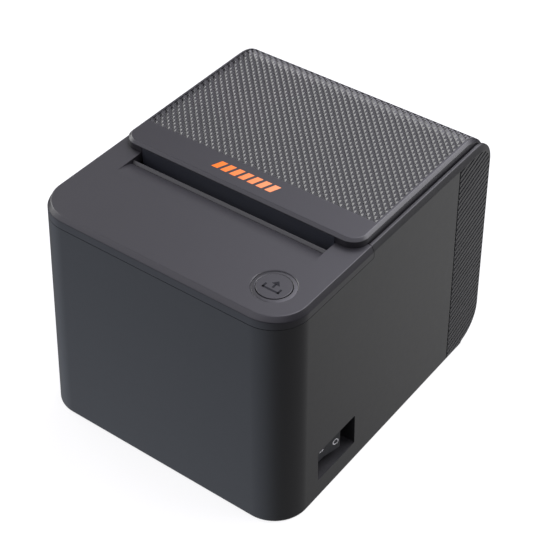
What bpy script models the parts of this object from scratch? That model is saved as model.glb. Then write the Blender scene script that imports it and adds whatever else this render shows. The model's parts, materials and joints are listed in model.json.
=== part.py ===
"""Desktop receipt printer for 80 mm paper, as separate pieces in one frame.

Metres, +Z up, +X to the right seen from the front, -Y towards the front. The origin is under the
middle of the printer, on the surface that it stands on. Distances called "back" are measured
rearwards from the top edge of the front face, and heights from the surface below the feet.
"""

import math

import bmesh
import bpy
from mathutils import Matrix, Vector

MM = 0.001
GAP = 0.3 * MM  # between pieces that touch

# Body
FOOT_HEIGHT = 1.0 * MM
BODY_HEIGHT = 121.5 * MM
TOP_HALF_WIDTH = 70 * MM
BODY_DEPTH = 169.5 * MM
SIDE_FLARE = 3.2 * MM
FRONT_FLARE = 3.6 * MM
WALL = 2.7 * MM
CHAMFER = 2.2 * MM
FRONT_CORNER_R = 18 * MM
REAR_TOP_R = 14.3 * MM
REAR_BOTTOM_R = 18.7 * MM
BASE_Z = FOOT_HEIGHT
TOP_Z = BASE_Z + BODY_HEIGHT
REAR_Y = (BODY_DEPTH + FRONT_FLARE) / 2
FRONT_Y = REAR_Y - BODY_DEPTH
FLOOR_OPENING_BACK = 146 * MM
FLOOR_Z = 3.8 * MM

# Front panel, paper slot and FEED button
SEAM_Z = TOP_Z - 6.4 * MM
PANEL_BACK = 66.3 * MM
PANEL_SKIN = 2.2 * MM
SLOT_HALF_WIDTH = 54.8 * MM
RAMP_BACK = 42.5 * MM
LIP_BACK = 51.4 * MM
RAMP_DROP = 2.1 * MM
TEAR_BAR_BACK = (51.7 * MM, 53.2 * MM)
BUTTON_X = 50.5 * MM
BUTTON_BACK = 19.9 * MM
BUTTON_R = 8 * MM
RING_R = 10 * MM

# Lid
LID_BACK = 58.5 * MM
LID_HALF_WIDTH = 66.7 * MM
LID_RISE = 4.6 * MM
LID_TOP_Z = TOP_Z + LID_RISE
LID_REAR = BODY_DEPTH - 0.8 * MM
LID_REAR_R = 20.2 * MM
LID_CHAMFER = 1.45 * MM
LID_CORNER_R = 8 * MM
LID_SKIN = 2.5 * MM
LID_REAR_EDGE_Z = 101 * MM
LID_SKIRT_BACK = 146 * MM
LID_SKIRT_DEPTH = 5 * MM
LID_REAR_FOOT_BACK = 160 * MM
FASCIA_BOTTOM_Z = 113 * MM
HINGE_BACK = 166 * MM
HINGE_Z = 98 * MM
KNUCKLE_R = 2.4 * MM
HINGE_PIN_R = 1.25 * MM
HINGE_BORE_R = 1.55 * MM

# Paper path and platen
PLATEN_BACK = 64.5 * MM
PLATEN_Z = 99 * MM
PLATEN_R = 6 * MM
PLATEN_HALF_LENGTH = 41.5 * MM
SHAFT_R = 2 * MM
BUCKET_BACK = 112 * MM
BUCKET_Z = 58 * MM
BUCKET_R = 42 * MM
BUCKET_HALF_WIDTH = 41.3 * MM
BUCKET_SKIN = 2 * MM
BUCKET_REAR_Z = 95 * MM
BUCKET_FRONT_Z = 84 * MM

# Drive train: teeth, and places that leave the wheels in mesh
GEAR_MODULE = 0.8 * MM
PLATEN_TEETH = 24
IDLER_TEETH = 30
PINION_TEETH = 12
GEAR_X = (51 * MM, 54.2 * MM)
SIDE_PLATE_X = (48.25 * MM, 49.75 * MM)
IDLER_ANGLE = math.radians(208.5)  # from the platen's axis to the idler's, in the YZ plane
PINION_ANGLE = math.radians(206.9)  # from the idler's axis to the pinion's

# Print head
HEAD_PIVOT_BACK = 54 * MM
HEAD_PIVOT_Z = 84 * MM

# Cutter
BLADE_Z = (111.4 * MM, 112.2 * MM)
CUTTER_PINION_X = -45.8 * MM
CUTTER_PINION_BACK = 30 * MM

# Rocker pocket in the right side
POCKET_BACK = (24.1 * MM, 54 * MM)
POCKET_Z = (11.3 * MM, 29.4 * MM)
POCKET_FLOOR_X = 64 * MM
ROCKER_X = 63.2 * MM
ROCKER_BACK = 35.6 * MM
ROCKER_Z = (14.9 * MM, 26 * MM)
ROCKER_HALF_LENGTH = 10.25 * MM
ROCKER_TILT = math.radians(8)

# Electronics
BOARD_Z = (10.6 * MM, 12.2 * MM)
PORT_WINDOW_Z = (12.6 * MM, 34 * MM)
PORT_BRACKET_BACK = (161.5 * MM, 162.7 * MM)

CORNER_STEPS = 8

parts = None
cutters = None
materials = {}


def back(distance):
    """The Y of a place this far behind the top edge of the front face."""
    return FRONT_Y + distance


def new_collection(name):
    made = bpy.data.collections.new(name)
    bpy.context.scene.collection.children.link(made)
    return made


def material(name, colour, roughness, metallic=0.0):
    made = bpy.data.materials.new(name)
    made.use_nodes = True
    shader = made.node_tree.nodes["Principled BSDF"]
    shader.inputs["Base Color"].default_value = (*colour, 1)
    shader.inputs["Roughness"].default_value = roughness
    shader.inputs["Metallic"].default_value = metallic
    materials[name] = made


def from_bmesh(bm, name):
    """A new object in the parts collection that holds this bmesh's faces."""
    bmesh.ops.recalc_face_normals(bm, faces=bm.faces)
    mesh = bpy.data.meshes.new(name)
    bm.to_mesh(mesh)
    bm.free()
    obj = bpy.data.objects.new(name, mesh)
    parts.objects.link(obj)
    return obj


def box(name, x, y, z):
    """A box between two values of each axis."""
    bm = bmesh.new()
    bmesh.ops.create_cube(bm, size=1)
    low = Vector((x[0], y[0], z[0]))
    high = Vector((x[1], y[1], z[1]))
    bmesh.ops.scale(bm, vec=high - low, verts=bm.verts)
    bmesh.ops.translate(bm, vec=(low + high) / 2, verts=bm.verts)
    return from_bmesh(bm, name)


def cylinder(name, axis, centre, radius, length, segments=16):
    """A cylinder along "X", "Y" or "Z", centred on centre."""
    turn = {"X": Matrix.Rotation(math.pi / 2, 4, "Y"), "Y": Matrix.Rotation(math.pi / 2, 4, "X")}
    bm = bmesh.new()
    bmesh.ops.create_cone(
        bm, cap_ends=True, segments=segments, radius1=radius, radius2=radius, depth=length,
        matrix=Matrix.Translation(centre) @ turn.get(axis, Matrix.Identity(4)),
    )
    obj = from_bmesh(bm, name)
    smooth(obj)
    return obj


def smooth(obj, angle=35):
    obj.data.shade_smooth()
    obj.data.set_sharp_from_angle(angle=math.radians(angle))


def arc(centre, radius, start, end, steps=CORNER_STEPS):
    """Points of an arc in a plane, from one angle to another, in degrees."""
    angles = [math.radians(start + (end - start) * i / steps) for i in range(steps + 1)]
    return [(centre[0] + radius * math.cos(a), centre[1] + radius * math.sin(a)) for a in angles]


def plate(name, outlines, across, span):
    """A flat outline, with any holes after it, made solid between two values of the across axis.

    For "X" the outline's points are (y, z), and for "Z" they are (x, y).
    """
    curve = bpy.data.curves.new(name, "CURVE")
    curve.dimensions = "2D"
    curve.fill_mode = "BOTH"
    curve.extrude = (span[1] - span[0]) / 2
    for outline in outlines:
        spline = curve.splines.new("POLY")
        spline.points.add(len(outline) - 1)
        for point, (u, v) in zip(spline.points, outline):
            point.co = (u, v, 0, 1)
        spline.use_cyclic_u = True
    guide = bpy.data.objects.new(name, curve)
    parts.objects.link(guide)
    middle = (span[0] + span[1]) / 2
    if across == "X":
        guide.matrix_world = Matrix.Translation((middle, 0, 0)) @ Matrix(
            ((0, 0, 1, 0), (1, 0, 0, 0), (0, 1, 0, 0), (0, 0, 0, 1))
        )
    else:
        guide.matrix_world = Matrix.Translation((0, 0, middle))
    bpy.context.view_layer.update()
    mesh = bpy.data.meshes.new_from_object(guide.evaluated_get(bpy.context.evaluated_depsgraph_get()))
    bm = bmesh.new()
    bm.from_mesh(mesh)
    bmesh.ops.remove_doubles(bm, verts=bm.verts, dist=0.01 * MM)
    bmesh.ops.transform(bm, matrix=guide.matrix_world, verts=bm.verts)
    bpy.data.objects.remove(guide)
    bpy.data.curves.remove(curve)
    bpy.data.meshes.remove(mesh)
    return from_bmesh(bm, name)


def turned(name, profile, location, segments=32):
    """A body of revolution about Z; its profile of (radius, height) runs top to bottom."""
    mesh = bpy.data.meshes.new(name)
    points = [(radius, 0, height) for radius, height in profile]
    mesh.from_pydata(points, [(i, i + 1) for i in range(len(points) - 1)], [])
    obj = bpy.data.objects.new(name, mesh)
    obj.location = location
    parts.objects.link(obj)
    screw = obj.modifiers.new("turn", "SCREW")
    screw.steps = segments
    screw.render_steps = segments
    screw.use_merge_vertices = True
    screw.merge_threshold = 0.00001
    return obj


def bevel(obj, chosen, width, segments=1):
    """Bevels the edges for which chosen(edge) is true."""
    bm = bmesh.new()
    bm.from_mesh(obj.data)
    bm.normal_update()
    edges = [edge for edge in bm.edges if chosen(edge)]
    bmesh.ops.bevel(
        bm, geom=edges, offset=width, offset_type="OFFSET", segments=segments, profile=0.5,
        affect="EDGES", clamp_overlap=False,
    )
    bm.to_mesh(obj.data)
    bm.free()


def edge_at(**wanted):
    """A test for edges whose ends both have the wanted x, y or z."""

    def test(edge):
        return all(
            abs(getattr(vert.co, axis) - value) < 0.02 * MM
            for vert in edge.verts
            for axis, value in wanted.items()
        )

    return test


def boolean(obj, other, operation="DIFFERENCE"):
    """Cuts, keeps or adds another shape, which becomes a hidden helper."""
    modifier = obj.modifiers.new(other.name, "BOOLEAN")
    modifier.operation = operation
    modifier.solver = "EXACT"
    modifier.object = other
    for owner in list(other.users_collection):
        owner.objects.unlink(other)
    cutters.objects.link(other)
    other.hide_render = True
    other.display_type = "WIRE"


def dress(obj, material_name, parent=None):
    """Gives a finished piece its material and, when it moves, its joint's empty as parent."""
    obj.data.materials.clear()
    obj.data.materials.append(materials[material_name])
    if parent:
        obj.parent = parent
        obj.matrix_parent_inverse = parent.matrix_world.inverted()
    return obj


def joint(name, location):
    empty = bpy.data.objects.new(name, None)
    empty.empty_display_size = 8 * MM
    parts.objects.link(empty)
    empty.location = location
    bpy.context.view_layer.update()
    return empty


# ---------------------------------------------------------------- body shell


def is_rim(edge):
    """True on the edges between the flared sides and the top or the rounded rear."""
    if len(edge.link_faces) != 2:
        return False
    one, other = (face.normal for face in edge.link_faces)
    if one.z < other.z:
        one, other = other, one
    around_top = one.z > 0.99 and abs(other.z) < 0.1
    flat, side = (one, other) if abs(one.x) < abs(other.x) else (other, one)
    around_rear = abs(side.x) > 0.9 and abs(flat.x) < 0.05 and flat.y > -0.5 and flat.z > -0.99
    return around_top or around_rear


def flared_block(name, inset, y, z, front_r, rear_bottom_r=0, rear_top_r=0):
    """A block whose sides and front lean out towards the base, set in from the body's faces."""
    half = TOP_HALF_WIDTH - inset
    obj = box(name, (-half, half), y, z)
    if rear_top_r:
        bevel(obj, edge_at(y=y[1], z=z[1]), rear_top_r, CORNER_STEPS)
    if rear_bottom_r:
        bevel(obj, edge_at(y=y[1], z=z[0]), rear_bottom_r, CORNER_STEPS)
    for vert in obj.data.vertices:
        lean = (TOP_Z - vert.co.z) / BODY_HEIGHT
        vert.co.x += math.copysign(SIDE_FLARE * lean, vert.co.x)
        if abs(vert.co.y - y[0]) < 0.01 * MM:
            vert.co.y -= FRONT_FLARE * lean

    def upright_front(edge):
        middle = (edge.verts[0].co + edge.verts[1].co) / 2
        tall = abs(edge.verts[0].co.z - edge.verts[1].co.z) > (z[1] - z[0]) * 0.9
        return tall and middle.y < back(10 * MM)

    bevel(obj, upright_front, front_r, CORNER_STEPS)
    return obj


def outer_form(name):
    """The whole body as one block, before it is split into housing and front panel."""
    obj = flared_block(
        name, 0, (FRONT_Y, REAR_Y), (BASE_Z, TOP_Z), FRONT_CORNER_R, REAR_BOTTOM_R, REAR_TOP_R
    )
    bevel(obj, is_rim, CHAMFER)
    return obj


def hinge_ear(name, x, foot_z):
    """A knuckle around the hinge axis on a web that runs down to foot_z."""
    y = back(HINGE_BACK)
    outline = [(y - KNUCKLE_R, foot_z), (y + KNUCKLE_R, foot_z)]
    outline += arc((y, HINGE_Z), KNUCKLE_R, 0, 180, 8)
    bore = arc((y, HINGE_Z), HINGE_BORE_R, 0, 337.5, 15)
    return plate(name, [outline, bore], "X", x)


def make_housing():
    housing = outer_form("main_housing")
    inner_front = FRONT_Y + WALL
    cavity = flared_block(
        "cut_cavity", WALL, (inner_front, REAR_Y - WALL), (FLOOR_Z, TOP_Z + 15 * MM),
        FRONT_CORNER_R - WALL, REAR_BOTTOM_R - WALL,
    )
    boolean(housing, cavity)
    boolean(housing, flared_block(
        "cut_floor", WALL, (inner_front, back(FLOOR_OPENING_BACK)), (-5 * MM, FLOOR_Z + 0.5 * MM),
        FRONT_CORNER_R - WALL,
    ))
    wide = (-80 * MM, 80 * MM)
    boolean(housing, box("cut_panel", wide, (back(-10 * MM), back(PANEL_BACK)), (SEAM_Z, TOP_Z + 10 * MM)))
    bay = TOP_HALF_WIDTH - WALL
    boolean(housing, box(
        "cut_lid_bay", (-bay, bay), (REAR_Y - 30 * MM, REAR_Y + 10 * MM), (94.5 * MM, TOP_Z + 10 * MM)
    ))
    for side in (-1, 1):
        for distance in SCREW_BACKS:
            boss = cylinder(
                f"add_boss_{side}_{distance:.3f}", "Z",
                (side * SCREW_X, back(distance), 7.2 * MM), 4.2 * MM, 6.6 * MM, 12,
            )
            boolean(housing, boss, "UNION")
            hole = cylinder(
                f"cut_boss_{side}_{distance:.3f}", "Z",
                (side * SCREW_X, back(distance), 6 * MM), 1.7 * MM, 7 * MM, 12,
            )
            boolean(housing, hole)
    for index, x in enumerate(((-67.8, -44.5), (-28, 28), (44.5, 67.8))):
        ear = hinge_ear(f"add_ear_{index}", (x[0] * MM, x[1] * MM), 89 * MM)
        boolean(housing, ear, "UNION")
    add_rocker_pocket(housing)
    window = box(
        "cut_port_window", (-46 * MM, 46 * MM), (back(163.4 * MM), REAR_Y + 5 * MM), PORT_WINDOW_Z
    )
    boolean(housing, window)
    dress(housing, "body_plastic")


def add_rocker_pocket(housing):
    low, high = (back(distance) for distance in POCKET_BACK)
    wall = 1.6 * MM
    boolean(housing, box(
        "add_pocket", (POCKET_FLOOR_X - wall, 71 * MM), (low - wall, high + wall),
        (POCKET_Z[0] - 1 * MM, POCKET_Z[1] + wall),
    ), "UNION")
    boolean(housing, box("cut_pocket", (POCKET_FLOOR_X, 80 * MM), (low, high), POCKET_Z))
    middle = back(ROCKER_BACK)
    reach = ROCKER_HALF_LENGTH + 0.9 * MM
    boolean(housing, box(
        "cut_switch_window", (POCKET_FLOOR_X - 5 * MM, POCKET_FLOOR_X + 1 * MM),
        (middle - reach, middle + reach), (ROCKER_Z[0] - 0.7 * MM, ROCKER_Z[1] + 0.7 * MM),
    ))


SCREW_X = 66.2 * MM
SCREW_BACKS = (27 * MM, 134 * MM)
FOOT_X = 55 * MM
FOOT_BACKS = (16 * MM, 128 * MM)
BASE_PLATE_Z = (1.4 * MM, 3.4 * MM)


def make_base():
    plate_block = flared_block(
        "base_plate", WALL + GAP, (FRONT_Y + WALL + GAP, back(FLOOR_OPENING_BACK) - GAP), BASE_PLATE_Z,
        FRONT_CORNER_R - WALL - GAP,
    )
    for side in (-1, 1):
        for distance in SCREW_BACKS:
            boolean(plate_block, cylinder(
                f"cut_base_screw_{side}_{distance:.3f}", "Z",
                (side * SCREW_X, back(distance), BASE_PLATE_Z[0]), 1.75 * MM, 8 * MM, 12,
            ))
    dress(plate_block, "body_plastic")
    corners = [(x_name, y_name) for y_name in ("front", "rear") for x_name in ("left", "right")]
    for x_name, y_name in corners:
        side = -1 if x_name == "left" else 1
        index = 0 if y_name == "front" else 1
        foot = turned(
            f"foot_{y_name}_{x_name}",
            [(0, 1.1 * MM), (7 * MM, 1.1 * MM), (7 * MM, 0.3 * MM), (6.6 * MM, 0), (0, 0)],
            (side * FOOT_X, back(FOOT_BACKS[index]), 0), 20,
        )
        dress(foot, "rubber")
        screw = turned(
            f"base_screw_{y_name}_{x_name}",
            [(0, 9 * MM), (1.4 * MM, 9 * MM), (1.4 * MM, 1.1 * MM), (2.8 * MM, 1.1 * MM),
             (2.8 * MM, 0.5 * MM), (2.5 * MM, 0.35 * MM), (0, 0.35 * MM)],
            (side * SCREW_X, back(SCREW_BACKS[index]), 0), 12,
        )
        dress(screw, "steel")


# ---------------------------------------------------------------- front panel


def make_front_panel():
    panel = outer_form("front_top_panel")
    wide = (-80 * MM, 80 * MM)
    boolean(panel, box(
        "keep_panel", wide, (back(-10 * MM), back(PANEL_BACK) - GAP), (SEAM_Z + GAP, TOP_Z + 10 * MM)
    ), "INTERSECT")
    inner_front = FRONT_Y + WALL
    deep = back(RAMP_BACK) - 2.5 * MM
    boolean(panel, flared_block(
        "cut_panel_front", WALL, (inner_front, deep), (SEAM_Z - 5 * MM, TOP_Z - PANEL_SKIN),
        FRONT_CORNER_R - WALL,
    ))
    inside = TOP_HALF_WIDTH - WALL
    boolean(panel, box(
        "cut_panel_rear", (-inside, inside), (deep - 1 * MM, back(PANEL_BACK + 5 * MM)),
        (SEAM_Z - 5 * MM, TOP_Z - 4.6 * MM),
    ))
    slot = (-SLOT_HALF_WIDTH, SLOT_HALF_WIDTH)
    boolean(panel, box(
        "cut_slot", slot, (back(LIP_BACK), back(PANEL_BACK + 5 * MM)), (SEAM_Z - 5 * MM, TOP_Z + 5 * MM)
    ))
    above = TOP_Z + 2 * MM
    ramp = [(back(RAMP_BACK), TOP_Z), (back(LIP_BACK), TOP_Z - RAMP_DROP)]
    ramp += [(back(LIP_BACK + 1 * MM), TOP_Z - RAMP_DROP), (back(LIP_BACK + 1 * MM), above)]
    ramp += [(back(RAMP_BACK), above)]
    boolean(panel, plate("cut_ramp", [ramp], "X", slot))
    boolean(panel, cylinder(
        "cut_button_hole", "Z", (BUTTON_X, back(BUTTON_BACK), TOP_Z), RING_R + GAP, 10 * MM, 32
    ))
    dress(panel, "panel_plastic")

    tear_bar = box(
        "tear_bar", (-54.4 * MM, 54.4 * MM), [back(d) for d in TEAR_BAR_BACK], (116.4 * MM, TOP_Z - 1 * MM)
    )
    bevel(tear_bar, edge_at(z=TOP_Z - 1 * MM), 0.45 * MM, 3)
    dress(tear_bar, "bar_plastic")


def make_feed_button():
    centre = Vector((BUTTON_X, back(BUTTON_BACK), TOP_Z))
    inner = BUTTON_R + GAP
    ring = turned(
        "feed_button_ring",
        [(inner, 0), (RING_R - 0.3 * MM, 0), (RING_R, -0.3 * MM), (RING_R, -2.4 * MM),
         (inner, -2.4 * MM), (inner, 0)],
        centre,
    )
    dress(ring, "panel_plastic")
    slide = joint("feed_button_axis", centre)
    button = turned(
        "feed_button",
        [(0, 0), (BUTTON_R - 0.3 * MM, 0), (BUTTON_R, -0.3 * MM), (BUTTON_R, -2.7 * MM),
         (9 * MM, -2.7 * MM), (9 * MM, -3.7 * MM), (2.5 * MM, -3.7 * MM), (2.5 * MM, -7 * MM), (0, -7 * MM)],
        centre,
    )
    dress(button, "panel_plastic", slide)
    board = box(
        "panel_board", (43 * MM, 59 * MM), (back(11 * MM), back(28 * MM)), (TOP_Z - 12 * MM, TOP_Z - 10.4 * MM)
    )
    dress(board, "board")
    switch = box(
        "feed_switch", (BUTTON_X - 3 * MM, BUTTON_X + 3 * MM),
        (back(BUTTON_BACK - 3 * MM), back(BUTTON_BACK + 3 * MM)), (TOP_Z - 10.1 * MM, TOP_Z - 8.1 * MM),
    )
    dress(switch, "black_plastic")


# ---------------------------------------------------------------- lid


def lid_top_curve(radius, steps=10):
    """The lid's rounded rear edge in side view, from the top to the rear face."""
    centre = (back(LID_REAR) - LID_REAR_R, LID_TOP_Z - LID_REAR_R)
    return arc(centre, radius, 90, 0, steps)


def make_lid(hinge):
    front = back(LID_BACK)
    step = back(PANEL_BACK) + 0.6 * MM
    skirt_z = TOP_Z - LID_SKIRT_DEPTH
    outline = [(front, TOP_Z + GAP), (front, LID_TOP_Z)] + lid_top_curve(LID_REAR_R)
    outline += [(back(LID_REAR), LID_REAR_EDGE_Z), (back(LID_REAR_FOOT_BACK), LID_REAR_EDGE_Z)]
    outline += [(back(LID_SKIRT_BACK), skirt_z), (step, skirt_z), (step, TOP_Z + GAP)]
    span = (-LID_HALF_WIDTH, LID_HALF_WIDTH)
    lid = plate("lid_cover", [outline], "X", span)
    limit_dissolve(lid)
    for side in span:
        bevel(lid, lambda edge, x=side: edge_at(x=x, y=front)(edge), LID_CORNER_R, CORNER_STEPS)
    bevel(lid, is_rim, LID_CHAMFER)

    inside = LID_HALF_WIDTH - LID_SKIN
    inner_front = front + LID_SKIN
    hollow = [(inner_front, 80 * MM), (inner_front, LID_TOP_Z - LID_SKIN)]
    hollow += lid_top_curve(LID_REAR_R - LID_SKIN) + [(back(LID_REAR) - LID_SKIN, 80 * MM)]
    boolean(lid, plate("cut_lid_hollow", [hollow], "X", (-inside, inside)))
    fascia_top = LID_TOP_Z - LID_CHAMFER - 2 * GAP
    boolean(lid, box(
        "cut_fascia", (-SLOT_HALF_WIDTH + 0.2 * MM, SLOT_HALF_WIDTH - 0.2 * MM),
        (front - 5 * MM, inner_front + 1 * MM), (TOP_Z - 5 * MM, fascia_top + GAP),
    ))
    dress(lid, "lid_plastic", hinge)

    fascia_half = SLOT_HALF_WIDTH - 0.5 * MM
    fascia = box(
        "lid_front_fascia", (-fascia_half, fascia_half), (front, inner_front - 0.1 * MM), (FASCIA_BOTTOM_Z, fascia_top)
    )
    dress(fascia, "black_plastic", hinge)
    make_lid_frame(hinge)


def limit_dissolve(obj):
    """Turns the triangles of a plate's flat faces back into single faces."""
    bm = bmesh.new()
    bm.from_mesh(obj.data)
    bmesh.ops.dissolve_limit(bm, angle_limit=math.radians(0.5), verts=bm.verts, edges=bm.edges)
    bm.to_mesh(obj.data)
    bm.free()


CHEEK_X = (43.3 * MM, 45.8 * MM)
FRAME_PLATE_Z = (122.9 * MM, 124.3 * MM)
FRAME_FRONT = 61.4 * MM
BEARING_R = 3.6 * MM


def make_lid_frame(hinge):
    """The lid's inner frame: top plate, two cheeks with the platen's seats, and two hinge arms."""
    frame = box(
        "lid_inner_frame", (-60 * MM, 60 * MM), (back(FRAME_FRONT), back(144 * MM)), FRAME_PLATE_Z
    )
    y = back(PLATEN_BACK)
    cheek_top = sum(FRAME_PLATE_Z) / 2
    cheek = [(back(FRAME_FRONT), cheek_top), (back(FRAME_FRONT), 113 * MM), (back(59.2 * MM), 111 * MM)]
    cheek += [(back(59.2 * MM), 97 * MM), (back(62 * MM), 93.4 * MM), (back(68 * MM), 93.4 * MM)]
    cheek += [(back(76 * MM), 105 * MM), (back(82 * MM), cheek_top)]
    seat = arc((y, PLATEN_Z), BEARING_R + GAP, 0, 337.5, 15)
    inner_r = LID_REAR_R - LID_SKIN - 0.4 * MM
    centre = (back(LID_REAR) - LID_REAR_R, LID_TOP_Z - LID_REAR_R)
    hinge_y = back(HINGE_BACK)
    arm = arc((hinge_y, HINGE_Z), KNUCKLE_R, 180, 360, 8)
    arm += [(hinge_y + KNUCKLE_R, HINGE_Z), (hinge_y + 1.6 * MM, HINGE_Z + 1.6 * MM)]
    arm += [(centre[0] + inner_r, 100.5 * MM)] + arc(centre, inner_r, 0, 90)
    arm += [(back(140 * MM), FRAME_PLATE_Z[1] - 0.1 * MM), (back(140 * MM), FRAME_PLATE_Z[0] - 0.5 * MM)]
    arm += [(back(152 * MM), 118 * MM)]
    arm += [(hinge_y - KNUCKLE_R, 104 * MM)]
    bore = arc((hinge_y, HINGE_Z), HINGE_BORE_R, 0, 337.5, 15)
    for side in (-1, 1):
        span = sorted((side * CHEEK_X[0], side * CHEEK_X[1]))
        boolean(frame, plate(f"add_cheek_{side}", [cheek, seat], "X", span), "UNION")
        span = sorted((side * 28.4 * MM, side * 44.1 * MM))
        boolean(frame, plate(f"add_arm_{side}", [arm, bore], "X", span), "UNION")
    flag = box(
        "add_sensor_flag", (-53.7 * MM, -52.9 * MM), (back(FRAME_FRONT), back(63.5 * MM)), (102 * MM, cheek_top)
    )
    boolean(frame, flag, "UNION")
    dress(frame, "black_plastic", hinge)

    blade = box(
        "fixed_blade", (-43 * MM, 43 * MM), (back(58.8 * MM), back(72 * MM)), (110 * MM, 111 * MM)
    )
    dress(blade, "steel", hinge)
    for side, name in ((-1, "left"), (1, "right")):
        bush = turned(
            f"platen_bearing_{name}",
            [(SHAFT_R + GAP, 1.6 * MM), (BEARING_R, 1.6 * MM), (BEARING_R, -1.6 * MM),
             (SHAFT_R + GAP, -1.6 * MM), (SHAFT_R + GAP, 1.6 * MM)],
            (side * 44.6 * MM, back(PLATEN_BACK), PLATEN_Z), 16,
        )
        bush.rotation_euler = (0, math.pi / 2, 0)
        bpy.context.view_layer.update()
        dress(bush, "brass", hinge)
        pin = cylinder(
            f"hinge_pin_{name}", "X", (side * 42 * MM, hinge_y, HINGE_Z), HINGE_PIN_R, 34 * MM
        )
        dress(pin, "steel")


# ---------------------------------------------------------------- platen and gears


def gear_outline(teeth, centre, phase):
    """A spur gear's outline in a plane, with a tooth centred on the angle phase."""
    pitch_r = GEAR_MODULE * teeth / 2
    tip_r = pitch_r + 0.85 * GEAR_MODULE
    root_r = pitch_r - 1.1 * GEAR_MODULE
    pitch_angle = 2 * math.pi / teeth
    points = []
    for tooth in range(teeth):
        middle = phase + tooth * pitch_angle
        for offset, radius in ((-0.33, root_r), (-0.11, tip_r), (0.11, tip_r), (0.33, root_r)):
            angle = middle + offset * pitch_angle
            points.append((centre[0] + radius * math.cos(angle), centre[1] + radius * math.sin(angle)))
    return points


def meshing_phase(teeth, other_teeth, other_phase, angle):
    """The phase that puts a gap of this gear on the other's tooth, at angle seen from the other."""
    offset = other_phase - angle
    return angle + math.pi - offset * other_teeth / teeth + math.pi / teeth


def gear_centres():
    platen = Vector((back(PLATEN_BACK), PLATEN_Z))
    reach = GEAR_MODULE * (PLATEN_TEETH + IDLER_TEETH) / 2
    idler = platen + reach * Vector((math.cos(IDLER_ANGLE), math.sin(IDLER_ANGLE)))
    reach = GEAR_MODULE * (IDLER_TEETH + PINION_TEETH) / 2
    pinion = idler + reach * Vector((math.cos(PINION_ANGLE), math.sin(PINION_ANGLE)))
    return platen, idler, pinion


def make_platen(lid_hinge):
    platen, idler, pinion = gear_centres()
    spin = joint("platen_axis", (0, platen.x, platen.y))
    dress(cylinder("platen_shaft", "X", (2.3 * MM, platen.x, platen.y), SHAFT_R, 104.4 * MM), "steel", spin)
    rubber = [arc(platen, PLATEN_R, 0, 348.75, 31), arc(platen, SHAFT_R + GAP, 0, 337.5, 15)]
    roller = plate("platen_rubber", rubber, "X", (-PLATEN_HALF_LENGTH, PLATEN_HALF_LENGTH))
    smooth(roller)
    dress(roller, "rubber", spin)
    bore_r = SHAFT_R + GAP
    wheel = plate(
        "platen_gear", [gear_outline(PLATEN_TEETH, platen, 0), arc(platen, bore_r, 0, 337.5, 15)], "X", GEAR_X
    )
    dress(wheel, "gear_plastic", spin)
    spin.parent = lid_hinge
    spin.matrix_parent_inverse = lid_hinge.matrix_world.inverted()

    idler_phase = meshing_phase(IDLER_TEETH, PLATEN_TEETH, 0, IDLER_ANGLE)
    idler_spin = joint("idler_axis", (0, idler.x, idler.y))
    wheel = plate(
        "idler_gear", [gear_outline(IDLER_TEETH, idler, idler_phase), arc(idler, bore_r, 0, 337.5, 15)],
        "X", GEAR_X,
    )
    dress(wheel, "gear_plastic", idler_spin)
    dress(cylinder("idler_pin", "X", (53.05 * MM, idler.x, idler.y), SHAFT_R, 6 * MM), "steel")

    pinion_phase = meshing_phase(PINION_TEETH, IDLER_TEETH, idler_phase, PINION_ANGLE)
    pinion_spin = joint("feed_pinion_axis", (0, pinion.x, pinion.y))
    wheel = plate("feed_pinion", [gear_outline(PINION_TEETH, pinion, pinion_phase)], "X", GEAR_X)
    boolean(wheel, cylinder(
        "add_pinion_shaft", "X", (49.6 * MM, pinion.x, pinion.y), 1.5 * MM, 4.6 * MM, 12
    ), "UNION")
    dress(wheel, "brass", pinion_spin)
    motor = cylinder("stepper_motor", "X", (37 * MM, pinion.x, pinion.y), 12.5 * MM, 20 * MM, 24)
    bevel(motor, edge_at(x=27 * MM), 1 * MM)
    dress(motor, "steel")


# ---------------------------------------------------------------- print mechanism


def make_mechanism_frame():
    """Two side plates, notched for the platen's shaft, on a cross plate that seats the head's springs."""
    _, _, pinion = gear_centres()
    notch = 2.4 * MM
    top = 108.5 * MM
    y = back(PLATEN_BACK)
    slot = [(y + notch, top)] + arc((y, PLATEN_Z), notch, 0, -180, 6) + [(y - notch, top)]
    head_bore = arc((back(HEAD_PIVOT_BACK), HEAD_PIVOT_Z), 1.8 * MM, 0, 337.5, 15)
    low = 69.5 * MM
    left = [(back(40 * MM), low), (back(74 * MM), low), (back(74 * MM), top)] + slot + [(back(40 * MM), top)]
    right = [(back(16 * MM), 66 * MM), (back(44 * MM), 66 * MM), (back(46 * MM), low)]
    right += left[1:] + [(back(40 * MM), 97 * MM), (back(16 * MM), 97 * MM)]
    motor_bore = arc(pinion, 1.9 * MM, 0, 330, 11)
    frame = box("mechanism_frame", (-49 * MM, 49 * MM), (back(43.8 * MM), back(51.5 * MM)), (70.5 * MM, 72 * MM))
    span = (-SIDE_PLATE_X[1], -SIDE_PLATE_X[0])
    boolean(frame, plate("add_left_plate", [left, head_bore], "X", span), "UNION")
    boolean(frame, plate("add_right_plate", [right, head_bore, motor_bore], "X", SIDE_PLATE_X), "UNION")
    dress(frame, "steel")
    for side, name in ((-1, "left"), (1, "right")):
        x = sorted((side * 46.5 * MM, side * 47.95 * MM))
        spring = box(f"detent_spring_{name}", x, (back(67.2 * MM), back(67.8 * MM)), (84 * MM, 104 * MM))
        dress(spring, "steel")
    sensor = [(-56.2, 96), (-50.2, 96), (-50.2, 106), (-52.1, 106), (-52.1, 101), (-54.5, 101)]
    sensor += [(-54.5, 106), (-56.2, 106)]
    outline = [(x * MM, z * MM) for x, z in sensor]
    dress(upright_plate("cover_sensor", outline, (back(59.5 * MM), back(65 * MM))), "black_plastic")


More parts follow.
